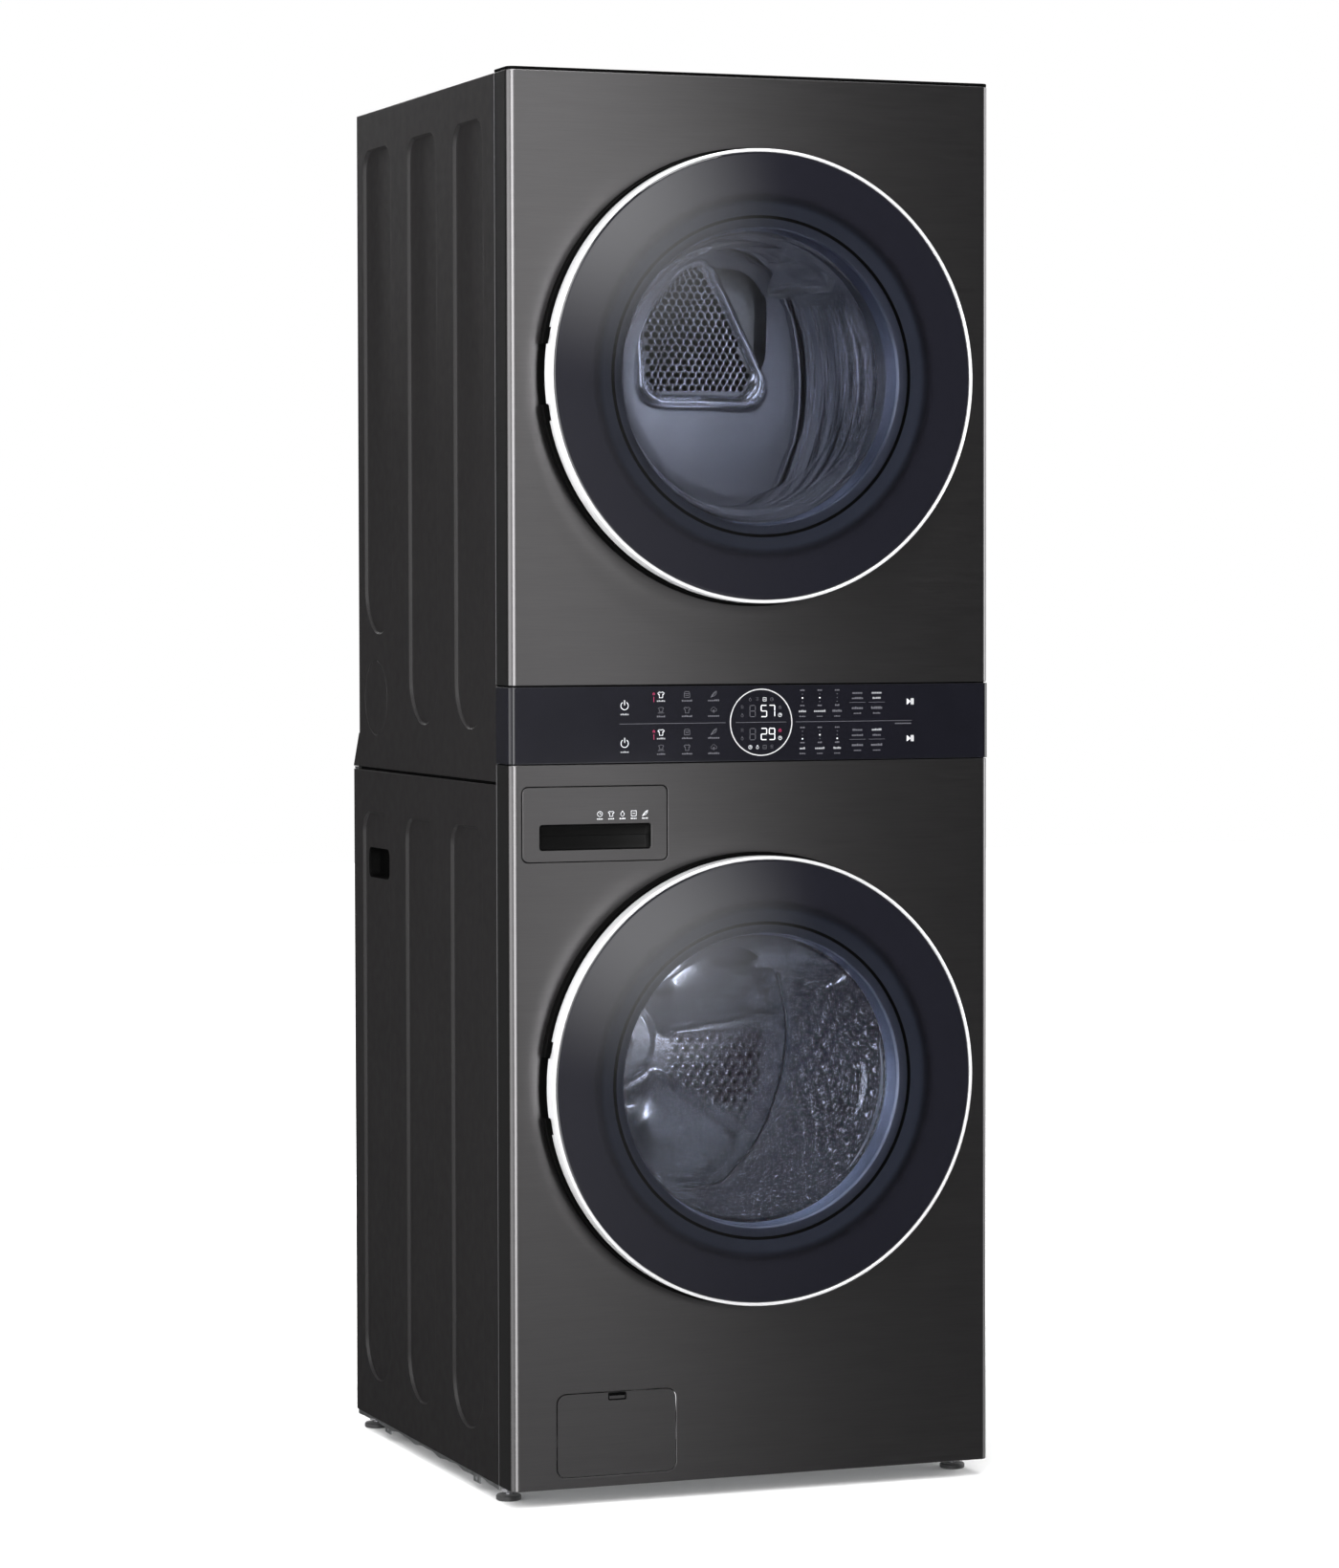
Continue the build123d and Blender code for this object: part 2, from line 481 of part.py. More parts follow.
with BuildPart() as drain_filter:
    bar(FILTER_CAP_X, FILTER_CAP_Z, 33, (-327, -317))
    block((FILTER_CAP_X - 28, FILTER_CAP_X + 28), (-335, -327), (FILTER_CAP_Z - 5, FILTER_CAP_Z + 5))
    bar(FILTER_CAP_X, FILTER_CAP_Z, FILTER_BORE, (-317, -245))
    bar(FILTER_CAP_X, FILTER_CAP_Z, FILTER_BORE - 3, (-310, -240), mode=Mode.SUBTRACT)
write(drain_filter, "drain_filter")

with BuildPart() as filter_cover:
    slab(FILTER_X, FILTER_Z, (FRONT_Y, FRONT_Y + 3), 12)
    slab((-208, -182), (137, 155), (FRONT_Y - 1, FRONT_Y + 1.6), 2, mode=Mode.SUBTRACT)
write(filter_cover, "filter_cover")


# ---------------------------------------------------------------- washer tub and drum
with BuildPart() as door_gasket:
    turn([(204, -333.5), (214, -337), (221.5, -337), (221.5, -322), (238, -322), (238, -299.5),
          (221, -299.5), (221, -286), (217.6, -286), (217.6, -303), (234.5, -303), (234.5, -318.5),
          (218, -318.5), (218, -331), (204, -330.5)], DRUM_Z)
write(door_gasket, "door_gasket")

TUB_INNER, TUB_OUTER, TUB_FLANGE, TUB_JOINT_Y = 285.0, 289.0, 297.0, -20.0
with BuildPart() as tub_front:
    turn([(213, -292), (217, -292), (217, -282), (TUB_OUTER, -276), (TUB_OUTER, TUB_JOINT_Y - 8),
          (TUB_FLANGE, TUB_JOINT_Y - 8), (TUB_FLANGE, TUB_JOINT_Y), (TUB_INNER, TUB_JOINT_Y),
          (TUB_INNER, -272.5), (213, -278.5)], DRUM_Z)
write(tub_front, "tub_front")

HUB_RADIUS = 60.0
with BuildPart() as tub_rear:
    turn([(TUB_INNER, TUB_JOINT_Y + 0.2), (TUB_FLANGE, TUB_JOINT_Y + 0.2), (TUB_FLANGE, TUB_JOINT_Y + 8),
          (TUB_OUTER, TUB_JOINT_Y + 8), (TUB_OUTER, 236), (HUB_RADIUS, 236), (HUB_RADIUS, 286),
          (WASHER_SHAFT_RADIUS + RUNNING, 286), (WASHER_SHAFT_RADIUS + RUNNING, 230),
          (TUB_INNER, 230)], DRUM_Z)
write(tub_rear, "tub_rear")

with BuildPart() as counterweights:
    turn([(246, -318), (288, -318), (288, -284), (246, -284)], DRUM_Z)
    block((-300, 300), (-330, -270), (DRUM_Z - 70, DRUM_Z + 70), mode=Mode.SUBTRACT)
write(counterweights, "counterweights")

with BuildPart() as motor_stator:
    turn([(HUB_RADIUS + 0.2, 250), (110, 250), (110, 280), (HUB_RADIUS + 0.2, 280)], DRUM_Z)
write(motor_stator, "motor_stator")

with BuildPart() as washer_drum:
    turn([(228, -266), (WASHER_DRUM_RADIUS, -262), (WASHER_DRUM_RADIUS, 206.5), (0, 206.5), (0, 205),
          (WASHER_DRUM_RADIUS - 1.5, 205), (WASHER_DRUM_RADIUS - 1.5, -260.6), (228, -264.5)], DRUM_Z)
write(washer_drum, "washer_drum")


def make_vanes(drum_z, wall_radius, height, base_width, y, turned):
    """Three lifting vanes on the inside of a drum."""
    with BuildSketch(at_y(y[1])) as vanes:
        with Locations((0, drum_z)):
            with PolarLocations(wall_radius - height / 2 + 6, 3, start_angle=turned):
                Trapezoid(base_width, height + 12, 68, rotation=90)
            Circle(wall_radius - 0.2, mode=Mode.INTERSECT)
    extrude(vanes.sketch, amount=y[1] - y[0])


with BuildPart() as washer_lifters:
    make_vanes(DRUM_Z, WASHER_DRUM_RADIUS - 1.5, 55, 78, (-230, 180), 30)
write(washer_lifters, "washer_lifters")

with BuildPart() as drum_spider:
    bar(0, DRUM_Z, 45, (206.7, 226))
    with BuildSketch(at_y(222)) as arms:
        with Locations((0, DRUM_Z)):
            with PolarLocations(120, 3, start_angle=30):
                Rectangle(240, 42)
    extrude(arms.sketch, amount=15.3)
    bar(0, DRUM_Z, WASHER_SHAFT_RADIUS, (226, 322))
write(drum_spider, "drum_spider")

with BuildPart() as motor_rotor:
    turn([(125, 245), (125, 305), (WASHER_SHAFT_RADIUS + 0.1, 305), (WASHER_SHAFT_RADIUS + 0.1, 298),
          (121, 298), (121, 245)], DRUM_Z)
write(motor_rotor, "motor_rotor")

SPRING_RADIUS, SPRING_WIRE = 14.0, 2.0
SPRING_Z, SPRING_PITCH = (798.0, 938.0), 14.0
with BuildPart() as tub_suspension:
    for spring_x in mirrored_x(205):
        with BuildLine() as coil:
            Helix(SPRING_PITCH, SPRING_Z[1] - SPRING_Z[0], SPRING_RADIUS, center=(spring_x, -16, SPRING_Z[0]))
        with BuildSketch(Plane(coil.line @ 0, z_dir=coil.line % 0)):
            Circle(SPRING_WIRE)
        sweep(path=coil.line)
        # Seats on the tub's flange and under the deck
        post(spring_x, -16, 6, (779, SPRING_Z[0] - 2))
        post(spring_x, -16, 17, (SPRING_Z[0] - 5, SPRING_Z[0] - 1))
        post(spring_x, -16, 17, (SPRING_Z[1] + 1, SPRING_Z[1] + 5))
        post(spring_x, -16, 6, (SPRING_Z[1] + 2, SHELF_Z - 2))
    for damper_x, damper_y, damper_top in ((-130, -90, 296), (130, -90, 296), (0, 120, 266)):
        post(damper_x, damper_y, 14, (FLOOR_Z, 190))
        post(damper_x, damper_y, 5, (190, damper_top))
write(tub_suspension, "tub_suspension")


# ---------------------------------------------------------------- dryer air path and drum
THROAT_RADIUS = 212.0
with BuildPart() as front_bulkhead:
    block((-338, 338), (-270, -268.5), (DRYER_FRONT_BOTTOM_Z + 4, 1878))
    bar(0, DRYER_DOOR_Z, THROAT_RADIUS + 3, (-337.5, -268.5))
    bar(0, DRYER_DOOR_Z, THROAT_RADIUS, (-345, -260), mode=Mode.SUBTRACT)
    turn([(284, -269), (287, -269), (287, -240), (284, -240)], DRYER_DRUM_Z)
write(front_bulkhead, "front_bulkhead")

ROLLER_DISTANCE = DRYER_DRUM_RADIUS + ROLLER_RADIUS + 0.3
ROLLER_PLACE = Vector(0, -ROLLER_DISTANCE, 0).rotate(Axis.Z, ROLLER_ANGLE)
ROLLER_X, ROLLER_Z = ROLLER_PLACE.X, DRYER_DRUM_Z + ROLLER_PLACE.Y
ROLLER_PIN_RADIUS = 6.0
with BuildPart() as rear_bulkhead:
    block((-338, 338), (278, 279.5), (DRYER_FRONT_BOTTOM_Z + 4, 1878))
    turn([(308, 262), (311, 262), (311, 278.5), (308, 278.5)], DRYER_DRUM_Z)
    # Air inlet behind the upper right of the drum
    slab((95, 265), (1500, 1670), (270, 285), 60, mode=Mode.SUBTRACT)
    bar(0, EXHAUST_Z, EXHAUST_RADIUS + 1, (270, 290), mode=Mode.SUBTRACT)
    for roller_x in mirrored_x(ROLLER_X):
        bar(roller_x, ROLLER_Z, ROLLER_PIN_RADIUS, (238, 278.5))
write(rear_bulkhead, "rear_bulkhead")

for side_name, roller_x in (("left", -ROLLER_X), ("right", ROLLER_X)):
    with BuildPart() as roller:
        bar(roller_x, ROLLER_Z, ROLLER_RADIUS, (242, 262))
        bar(roller_x, ROLLER_Z, ROLLER_PIN_RADIUS + RUNNING, (242, 262), mode=Mode.SUBTRACT)
    write(roller, f"drum_roller_{side_name}")

with BuildPart() as dryer_drum:
    turn([(289, -256), (DRYER_DRUM_RADIUS, -256), (DRYER_DRUM_RADIUS, 270),
          (DRYER_DRUM_RADIUS - 1.5, 270), (DRYER_DRUM_RADIUS - 1.5, -254.5), (289, -254.5)], DRYER_DRUM_Z)
write(dryer_drum, "dryer_drum")

with BuildPart() as dryer_lifters:
    make_vanes(DRYER_DRUM_Z, DRYER_DRUM_RADIUS - 1.5, 62, 84, (-230, 245), -20)
write(dryer_lifters, "dryer_lifters")

with BuildPart() as lint_filter:
    block((-20, 100), (-268.4, -246), (1246, 1274))
    block((-17, 97), (-265, -240), (1249, 1271), mode=Mode.SUBTRACT)
    for bar_x in range(-5, 96, 12):
        block((bar_x, bar_x + 2), (-265, -246), (1249, 1271))
write(lint_filter, "lint_filter")

with BuildPart() as heater_duct:
    block((70, 300), (279.6, 324), (1180, 1700))
    block((72, 298), (279, 322), (1182, 1698), mode=Mode.SUBTRACT)
write(heater_duct, "heater_duct")

BLOWER_Y, BLOWER_RADIUS, WHEEL_RADIUS = (-160.0, -80.0), 92.0, 82.0
with BuildPart() as blower_housing:
    bar(MOTOR_X, MOTOR_Z, BLOWER_RADIUS, BLOWER_Y)
    block((MOTOR_X, 54), BLOWER_Y, (1001, 1109))
    block((-170, -120), BLOWER_Y, (SHELF_Z, 1060))
    bar(MOTOR_X, MOTOR_Z, BLOWER_RADIUS - 3, (BLOWER_Y[0] + 3, BLOWER_Y[1] - 3), mode=Mode.SUBTRACT)
    block((MOTOR_X, 51), (BLOWER_Y[0] + 3, BLOWER_Y[1] - 3), (1004, 1106), mode=Mode.SUBTRACT)
    bar(MOTOR_X, MOTOR_Z, 55, (-170, -150), mode=Mode.SUBTRACT)
    bar(MOTOR_X, MOTOR_Z, 12, (-90, -70), mode=Mode.SUBTRACT)
    bar(0, EXHAUST_Z, EXHAUST_RADIUS - 2, (-90, -70), mode=Mode.SUBTRACT)
write(blower_housing, "blower_housing")

with BuildPart() as blower_wheel:
    bar(MOTOR_X, MOTOR_Z, WHEEL_RADIUS, (-96, -92))
    bar(MOTOR_X, MOTOR_Z, 14, (-130, -92))
    # Front shroud ring, with the blades between it and the back plate
    with BuildSketch(at_y(-145)) as shroud:
        with Locations((MOTOR_X, MOTOR_Z)):
            Circle(WHEEL_RADIUS)
            Circle(WHEEL_RADIUS - 18, mode=Mode.SUBTRACT)
    extrude(shroud.sketch, amount=3)
    with BuildSketch(at_y(-94)) as blades:
        with Locations((MOTOR_X, MOTOR_Z)):
            with PolarLocations(WHEEL_RADIUS - 9, 24):
                Rectangle(14, 2, rotation=25)
    extrude(blades.sketch, amount=53)
    bar(MOTOR_X, MOTOR_Z, MOTOR_SHAFT_RADIUS + 0.1, (-160, -80), mode=Mode.SUBTRACT)
write(blower_wheel, "blower_wheel")

with BuildPart() as motor_shaft:
    bar(MOTOR_X, MOTOR_Z, MOTOR_SHAFT_RADIUS, (-145, 166))
    bar(MOTOR_X, MOTOR_Z, PULLEY_RADIUS, (BELT_Y[0] - 4, BELT_Y[1] + 4))
write(motor_shaft, "motor_shaft")

with BuildPart() as dryer_motor:
    bar(MOTOR_X, MOTOR_Z, 60, (-55, 115))
    block((MOTOR_X - 35, MOTOR_X + 35), (-40, 100), (SHELF_Z, 1090))
    bar(MOTOR_X, MOTOR_Z, MOTOR_SHAFT_RADIUS + RUNNING, (-60, 120), mode=Mode.SUBTRACT)
    # Base plate that also carries the belt tensioner's post and pin
    block((MOTOR_X - 35, IDLER_X + 15), (-40, 174), (SHELF_Z, SHELF_Z + 4))
    block((IDLER_X - 15, IDLER_X + 15), (170, 174), (SHELF_Z, IDLER_Z + 12))
    bar(IDLER_X, IDLER_Z, 5, (142, 171))
write(dryer_motor, "dryer_motor")

with BuildPart() as idler_pulley:
    bar(IDLER_X, IDLER_Z, IDLER_RADIUS, (BELT_Y[0] - 4, BELT_Y[1] + 4))
    bar(IDLER_X, IDLER_Z, 5 + RUNNING, (140, 170), mode=Mode.SUBTRACT)
write(idler_pulley, "idler_pulley")


def belt_loop(extra, mode):
    """The taut loop around drum, motor pulley and idler, a distance outside them."""
    with BuildSketch(at_y(BELT_Y[1])) as loop:
        with Locations((0, DRYER_DRUM_Z)):
            Circle(DRYER_DRUM_RADIUS + extra)
        with Locations((MOTOR_X, MOTOR_Z)):
            Circle(PULLEY_RADIUS + extra)
        with Locations((IDLER_X, IDLER_Z)):
            Circle(IDLER_RADIUS + extra)
        make_hull()
    extrude(loop.sketch, amount=BELT_Y[1] - BELT_Y[0], mode=mode)


with BuildPart() as drive_belt:
    belt_loop(2.3, Mode.ADD)
    belt_loop(0.3, Mode.SUBTRACT)
write(drive_belt, "drive_belt")

with BuildPart() as exhaust_duct:
    bar(0, EXHAUST_Z, EXHAUST_RADIUS - 0.8, (BLOWER_Y[1], BACK_Y))
    bar(0, EXHAUST_Z, EXHAUST_RADIUS, (OUTLET_Y, BACK_Y))
    bar(0, EXHAUST_Z, EXHAUST_RADIUS - 2, (BLOWER_Y[1], BACK_Y), mode=Mode.SUBTRACT)
write(exhaust_duct, "exhaust_duct")
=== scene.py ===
import json
import math
import random

import bmesh
import bpy
from mathutils import Matrix, Vector
from mathutils.geometry import tessellate_polygon


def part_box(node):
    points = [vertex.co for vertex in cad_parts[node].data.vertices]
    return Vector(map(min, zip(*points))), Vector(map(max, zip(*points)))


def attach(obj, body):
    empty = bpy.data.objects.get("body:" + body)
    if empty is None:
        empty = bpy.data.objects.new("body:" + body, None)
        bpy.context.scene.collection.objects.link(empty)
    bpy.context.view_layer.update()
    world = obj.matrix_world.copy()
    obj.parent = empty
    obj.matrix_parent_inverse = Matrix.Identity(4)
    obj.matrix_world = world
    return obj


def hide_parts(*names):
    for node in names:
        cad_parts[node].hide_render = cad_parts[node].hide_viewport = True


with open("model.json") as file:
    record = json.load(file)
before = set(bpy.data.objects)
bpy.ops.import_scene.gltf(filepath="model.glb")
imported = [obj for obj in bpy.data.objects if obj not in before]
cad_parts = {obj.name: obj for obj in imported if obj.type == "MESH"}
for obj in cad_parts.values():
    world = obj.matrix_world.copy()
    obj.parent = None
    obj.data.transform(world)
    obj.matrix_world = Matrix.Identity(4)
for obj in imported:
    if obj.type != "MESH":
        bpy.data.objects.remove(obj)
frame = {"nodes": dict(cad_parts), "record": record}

TAU = 2 * math.pi
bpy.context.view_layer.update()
NODES = frame["nodes"]
scene = bpy.context.scene


def middle(node):
    low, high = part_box(node)
    return (low + high) / 2


# ------------------------------------------------------------------ materials
class Nodes:
    """Short ways to add nodes to a shader tree."""

    def __init__(self, tree):
        self.tree = tree

    def node(self, kind, settings=(), **inputs):
        made = self.tree.nodes.new(kind)
        for key, value in dict(settings).items():
            setattr(made, key, value)
        for key, value in inputs.items():
            self.feed(made.inputs[key.replace("_", " ")], value)
        return made

    def feed(self, socket, value):
        if hasattr(value, "links"):
            self.tree.links.new(value, socket)
        else:
            socket.default_value = value

    def span(self, value, low, high, start, end, smooth=False):
        kind = {"interpolation_type": "SMOOTHSTEP"} if smooth else {}
        return self.node("ShaderNodeMapRange", kind, Value=value, From_Min=low, From_Max=high,
                         To_Min=start, To_Max=end).outputs[0]

    def sums(self, operation, a, b=0.0):
        made = self.node("ShaderNodeMath", {"operation": operation})
        self.feed(made.inputs[0], a)
        self.feed(made.inputs[1], b)
        return made.outputs[0]

    def times(self, a, b):
        return self.sums("MULTIPLY", a, b)

    def away(self, u, v):
        """Distance of (u, v) from the origin."""
        return self.sums("SQRT", self.sums("ADD", self.sums("POWER", u, 2), self.sums("POWER", v, 2)))

    def mixed(self, factor, a, b):
        mix = self.node("ShaderNodeMixShader")
        for socket, value in zip(mix.inputs, (factor, a.outputs[0], b.outputs[0])):
            self.feed(socket, value)
        return mix

    def position(self):
        where = self.node("ShaderNodeTexCoord").outputs["Object"]
        return self.node("ShaderNodeSeparateXYZ", Vector=where).outputs


class Paint(Nodes):
    """One procedural material. Its patterns use the piece's own coordinates, in metres."""

    def __init__(self, name, colour, roughness, metallic=0.0, **sockets):
        self.mat = bpy.data.materials.new(name)
        self.mat.use_nodes = True
        super().__init__(self.mat.node_tree)
        self.bsdf = self.tree.nodes["Principled BSDF"]
        self.colour, self.roughness = colour, roughness
        for key, value in dict(sockets, Base_Color=(*colour, 1), Roughness=roughness, Metallic=metallic).items():
            self.bsdf.inputs[key.replace("_", " ")].default_value = value

    def place(self, scale=(1, 1, 1)):
        coords = self.node("ShaderNodeTexCoord").outputs["Object"]
        return self.node("ShaderNodeMapping", Vector=coords, Scale=scale).outputs[0]

    def noise(self, size, stretch=(1, 1, 1), detail=3.0):
        return self.node("ShaderNodeTexNoise", Vector=self.place(stretch), Scale=1 / size,
                         Detail=detail).outputs["Fac"]

    def cells(self, size, out="Distance"):
        return self.node("ShaderNodeTexVoronoi", Vector=self.place(), Scale=1 / size).outputs[out]

    def blend(self, factor, a, b):
        made = self.node("ShaderNodeMix", {"data_type": "RGBA"})
        self.feed(made.inputs[0], factor)
        for socket, tone in zip((made.inputs[6], made.inputs[7]), (a, b)):
            self.feed(socket, tone if hasattr(tone, "links") else (*tone, 1))
        return made.outputs[2]

    def shade(self, factor, spread):
        """Varies the base colour by a pattern, darker and lighter by spread."""
        dark, light = (tuple(min(1, c * (1 + k)) for c in self.colour) for k in (-spread, spread))
        self.feed(self.bsdf.inputs["Base Color"], self.blend(factor, dark, light))

    def rough(self, factor, spread):
        self.feed(self.bsdf.inputs["Roughness"],
                  self.span(factor, 0.2, 0.8, self.roughness - spread, self.roughness + spread))

    def bump(self, height, distance, strength=1.0):
        made = self.node("ShaderNodeBump", Height=height, Distance=distance, Strength=strength)
        self.feed(self.bsdf.inputs["Normal"], made.outputs[0])

    def surface(self, shader):
        self.feed(self.tree.nodes["Material Output"].inputs["Surface"], shader.outputs[0])


def brushed_black():
    p = Paint("brushed_black_steel", (0.142, 0.1385, 0.1410), 0.34, 1.0)
    fine = p.noise(0.0007, (0.015, 0.015, 1), 4)
    patches = p.noise(0.012, (0.10, 0.10, 1), 3)
    p.shade(p.sums("ADD", p.times(fine, 0.7), p.times(patches, 0.3)), 0.16)
    p.rough(fine, 0.05)
    p.bump(fine, 0.00002, 0.4)
    upright = p.node("ShaderNodeCombineXYZ", Z=1.0)    # highlights spread across the brush lines
    p.feed(p.bsdf.inputs["Tangent"], upright.outputs[0])
    p.bsdf.inputs["Anisotropic"].default_value = 0.85
    return p.mat


def painted(name, colour, roughness, depth=0.00003, specular=0.5):
    p = Paint(name, colour, roughness, Specular_IOR_Level=specular)
    p.shade(p.noise(0.09), 0.12)
    p.rough(p.noise(0.02), 0.05)
    p.bump(p.noise(0.0012, detail=2), depth)
    return p.mat


def plastic(name, colour, roughness, grain=0.0006, depth=0.00002, **sockets):
    p = Paint(name, colour, roughness, **sockets)
    p.shade(p.noise(0.03), 0.08)
    p.rough(p.noise(0.008), 0.06)
    p.bump(p.cells(grain), depth)
    return p.mat


def metal(name, colour, roughness, brush=(1, 1, 1), size=0.002, spread=0.15, depth=0.00003):
    p = Paint(name, colour, roughness, 1.0)
    lines = p.noise(size, brush, 4)
    p.shade(lines, spread)
    p.rough(lines, 0.08)
    p.bump(lines, depth, 0.6)
    return p.mat


def galvanised():
    p = Paint("galvanised_sheet", (0.50, 0.51, 0.52), 0.38, 1.0)
    tone = p.node("ShaderNodeSeparateColor", Color=p.cells(0.007, "Color")).outputs[0]
    p.shade(tone, 0.09)
    p.feed(p.bsdf.inputs["Roughness"], p.span(tone, 0, 1, 0.34, 0.44))
    p.bump(p.noise(0.004), 0.00003)
    return p.mat


def band_gloss():
    p = Paint("band_gloss", (0.0045, 0.0045, 0.0068), 0.05, Coat_Weight=0.15, Coat_Roughness=0.03,
              Specular_IOR_Level=0.32)
    p.shade(p.noise(0.05), 0.2)
    p.feed(p.bsdf.inputs["Roughness"], p.span(p.noise(0.004, detail=6), 0.4, 0.7, 0.05, 0.11))
    p.bump(p.noise(0.02, detail=1), 0.00001)
    return p.mat


def trim_metal(name, colour, roughness, metallic, spread, change):
    """Smooth bright trim with a hint of polishing marks."""
    p = Paint(name, colour, roughness, metallic)
    p.shade(p.noise(0.03), spread)
    p.rough(p.noise(0.0015, detail=5), change)
    p.bump(p.noise(0.001, detail=5), 0.000004)
    return p.mat


def rubber(name, colour, roughness=0.55):
    p = Paint(name, colour, roughness, Sheen_Weight=0.15)
    p.shade(p.noise(0.02), 0.15)
    p.rough(p.noise(0.005), 0.08)
    p.bump(p.noise(0.0008, detail=4), 0.00003)
    return p.mat


def glowing_mark_paint(name, colour, strength):
    """A printed or lit mark on the control band. Its emission makes printed marks glow as well, a painted glow."""
    p = Paint(name, tuple(c * 0.5 for c in colour), 0.4)
    p.shade(p.noise(0.004), 0.1)
    p.bsdf.inputs["Emission Strength"].default_value = strength
    tone = p.blend(p.noise(0.01), tuple(c * 0.92 for c in colour), colour)
    p.feed(p.bsdf.inputs["Emission Color"], tone)
    p.bump(p.noise(0.0006), 0.00001)
    return p.mat


MAT = {
    "black_steel": brushed_black(),
    "side_paint": painted("charcoal_enamel", (0.0094, 0.0087, 0.0090), 0.38, 0.00001, 0.25),
    "black_plastic": plastic("black_plastic", (0.012, 0.012, 0.013), 0.45),
    # Near-black with almost no reflection: the real black bezels, frames and trims, and also the dark pieces in the
    # gaps, the hand hold's cup and the grille's cells, which are painted shade
    "bezel_black": plastic("bezel_black", (0.0012, 0.0012, 0.0012), 0.6, Specular_IOR_Level=0.02),
    "grille_satin": metal("grille_satin_steel", (0.74, 0.76, 0.80), 0.2, size=0.004, spread=0.05,
                          depth=0.00001),
    "grey_plastic": plastic("grey_plastic", (0.26, 0.27, 0.28), 0.35),
    "pump_plastic": plastic("pump_plastic", (0.05, 0.05, 0.055), 0.5, 0.002, 0.00008),
    "light_plastic": plastic("light_plastic", (0.58, 0.59, 0.60), 0.3),
    "tub_plastic": plastic("glass_filled_plastic", (0.33, 0.34, 0.35), 0.5, 0.0015, 0.00006),
    "seal_rubber": rubber("grey_seal_rubber", (0.10, 0.105, 0.11), 0.4),
    "foot_rubber": rubber("foot_rubber", (0.02, 0.02, 0.021)),
    "belt_rubber": rubber("belt_rubber", (0.02, 0.02, 0.02)),
    "roller_rubber": rubber("roller_rubber", (0.04, 0.04, 0.043)),
    "galvanised": galvanised(),
    "zinc_steel": metal("zinc_plated_steel", (0.52, 0.52, 0.54), 0.32, size=0.003),
    "spring_steel": metal("oiled_spring_steel", (0.28, 0.28, 0.29), 0.35, size=0.002),
    "duct_metal": metal("mill_aluminium", (0.62, 0.63, 0.64), 0.3, (1, 0.05, 1), 0.0015),
    "bulkhead_steel": metal("bulkhead_steel", (0.27, 0.28, 0.31), 0.4, (1, 1, 0.06), 0.0015, 0.07, 0.00001),
    "drum_steel": metal("drum_stainless", (0.50, 0.51, 0.53), 0.2, (1, 0.03, 1), 0.002, 0.12, 0.00002),
    "spider_alloy": metal("cast_aluminium", (0.5, 0.51, 0.52), 0.45, size=0.003, depth=0.0002),
    "motor_paint": painted("motor_paint", (0.06, 0.06, 0.065), 0.4),
    "ballast": plastic("cast_ballast", (0.32, 0.31, 0.29), 0.8, grain=0.004, depth=0.0006),
    "winding": metal("copper_winding", (0.60, 0.28, 0.14), 0.35, (1, 0.1, 1), 0.0012, 0.3, 0.0002),
    "band_gloss": band_gloss(),
    "cup_gloss": plastic("handle_cup_black", (0.0020, 0.0020, 0.0020), 0.35, Specular_IOR_Level=0.06),
    "ring_chrome": trim_metal("door_ring_silver", (0.66, 0.66, 0.67), 0.22, 0.45, 0.03, 0.05),
    "dark_chrome": trim_metal("display_ring_chrome", (0.30, 0.30, 0.31), 0.16, 1.0, 0.04, 0.04),
}

SLOT_OF = {row["node"]: row["material_slot"] for row in frame["record"]["subparts"]}


def dress(obj, *materials):
    """Gives an object its materials, on the object itself, so that a shared mesh isn't touched."""
    if not obj.data.materials:
        for material in materials:
            obj.data.materials.append(material)
    for place, material in zip(obj.material_slots, materials):
        place.link = "OBJECT"
        place.material = material


for node_name, node in NODES.items():
    if SLOT_OF[node_name] in MAT:
        dress(node, MAT[SLOT_OF[node_name]])


# ------------------------------------------------------------------ building pieces
def weld(bm):
    bmesh.ops.remove_doubles(bm, verts=bm.verts, dist=1e-6)
    bmesh.ops.recalc_face_normals(bm, faces=bm.faces)


def finish(bm, name, body, slot, materials, stands_for=(), sharp=35, smooth=True, turned=False):
    """Turns a bmesh into a piece that rides on a body; turned says that its faces already look outward."""
    if not turned:
        weld(bm)
    limit = math.radians(sharp)
    for edge in bm.edges:
        edge.smooth = edge.is_manifold and edge.calc_face_angle(0) < limit
    for face in bm.faces:
        face.smooth = smooth
    mesh = bpy.data.meshes.new(name)
    bm.to_mesh(mesh)
    bm.free()
    for material in materials if isinstance(materials, list) else [materials]:
        mesh.materials.append(material)
    obj = bpy.data.objects.new(name, mesh)
    scene.collection.objects.link(obj)
    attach(obj, body)
    if stands_for:
        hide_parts(*stands_for)
    return obj


def corners_of(bm, points):
    return [bm.verts.new(point) for point in points]


def join_rows(bm, one, two, closed=True, material=0):
    """Faces between two rows of as many vertices."""
    for i in range(len(one) if closed else len(one) - 1):
        j = (i + 1) % len(one)
        bm.faces.new((one[i], one[j], two[j], two[i])).material_index = material


def chain(bm, rows, closed=True, material=0):
    """Faces from each row to the next one."""
    for one, two in zip(rows, rows[1:]):
        join_rows(bm, one, two, closed, material)


def cap_ends(bm, rows):
    for row in (rows[0], rows[-1]):
        bm.faces.new(row)


def circle(cx, cz, r, n=72):
    return [(cx + r * math.cos(TAU * i / n), cz + r * math.sin(TAU * i / n)) for i in range(n)]


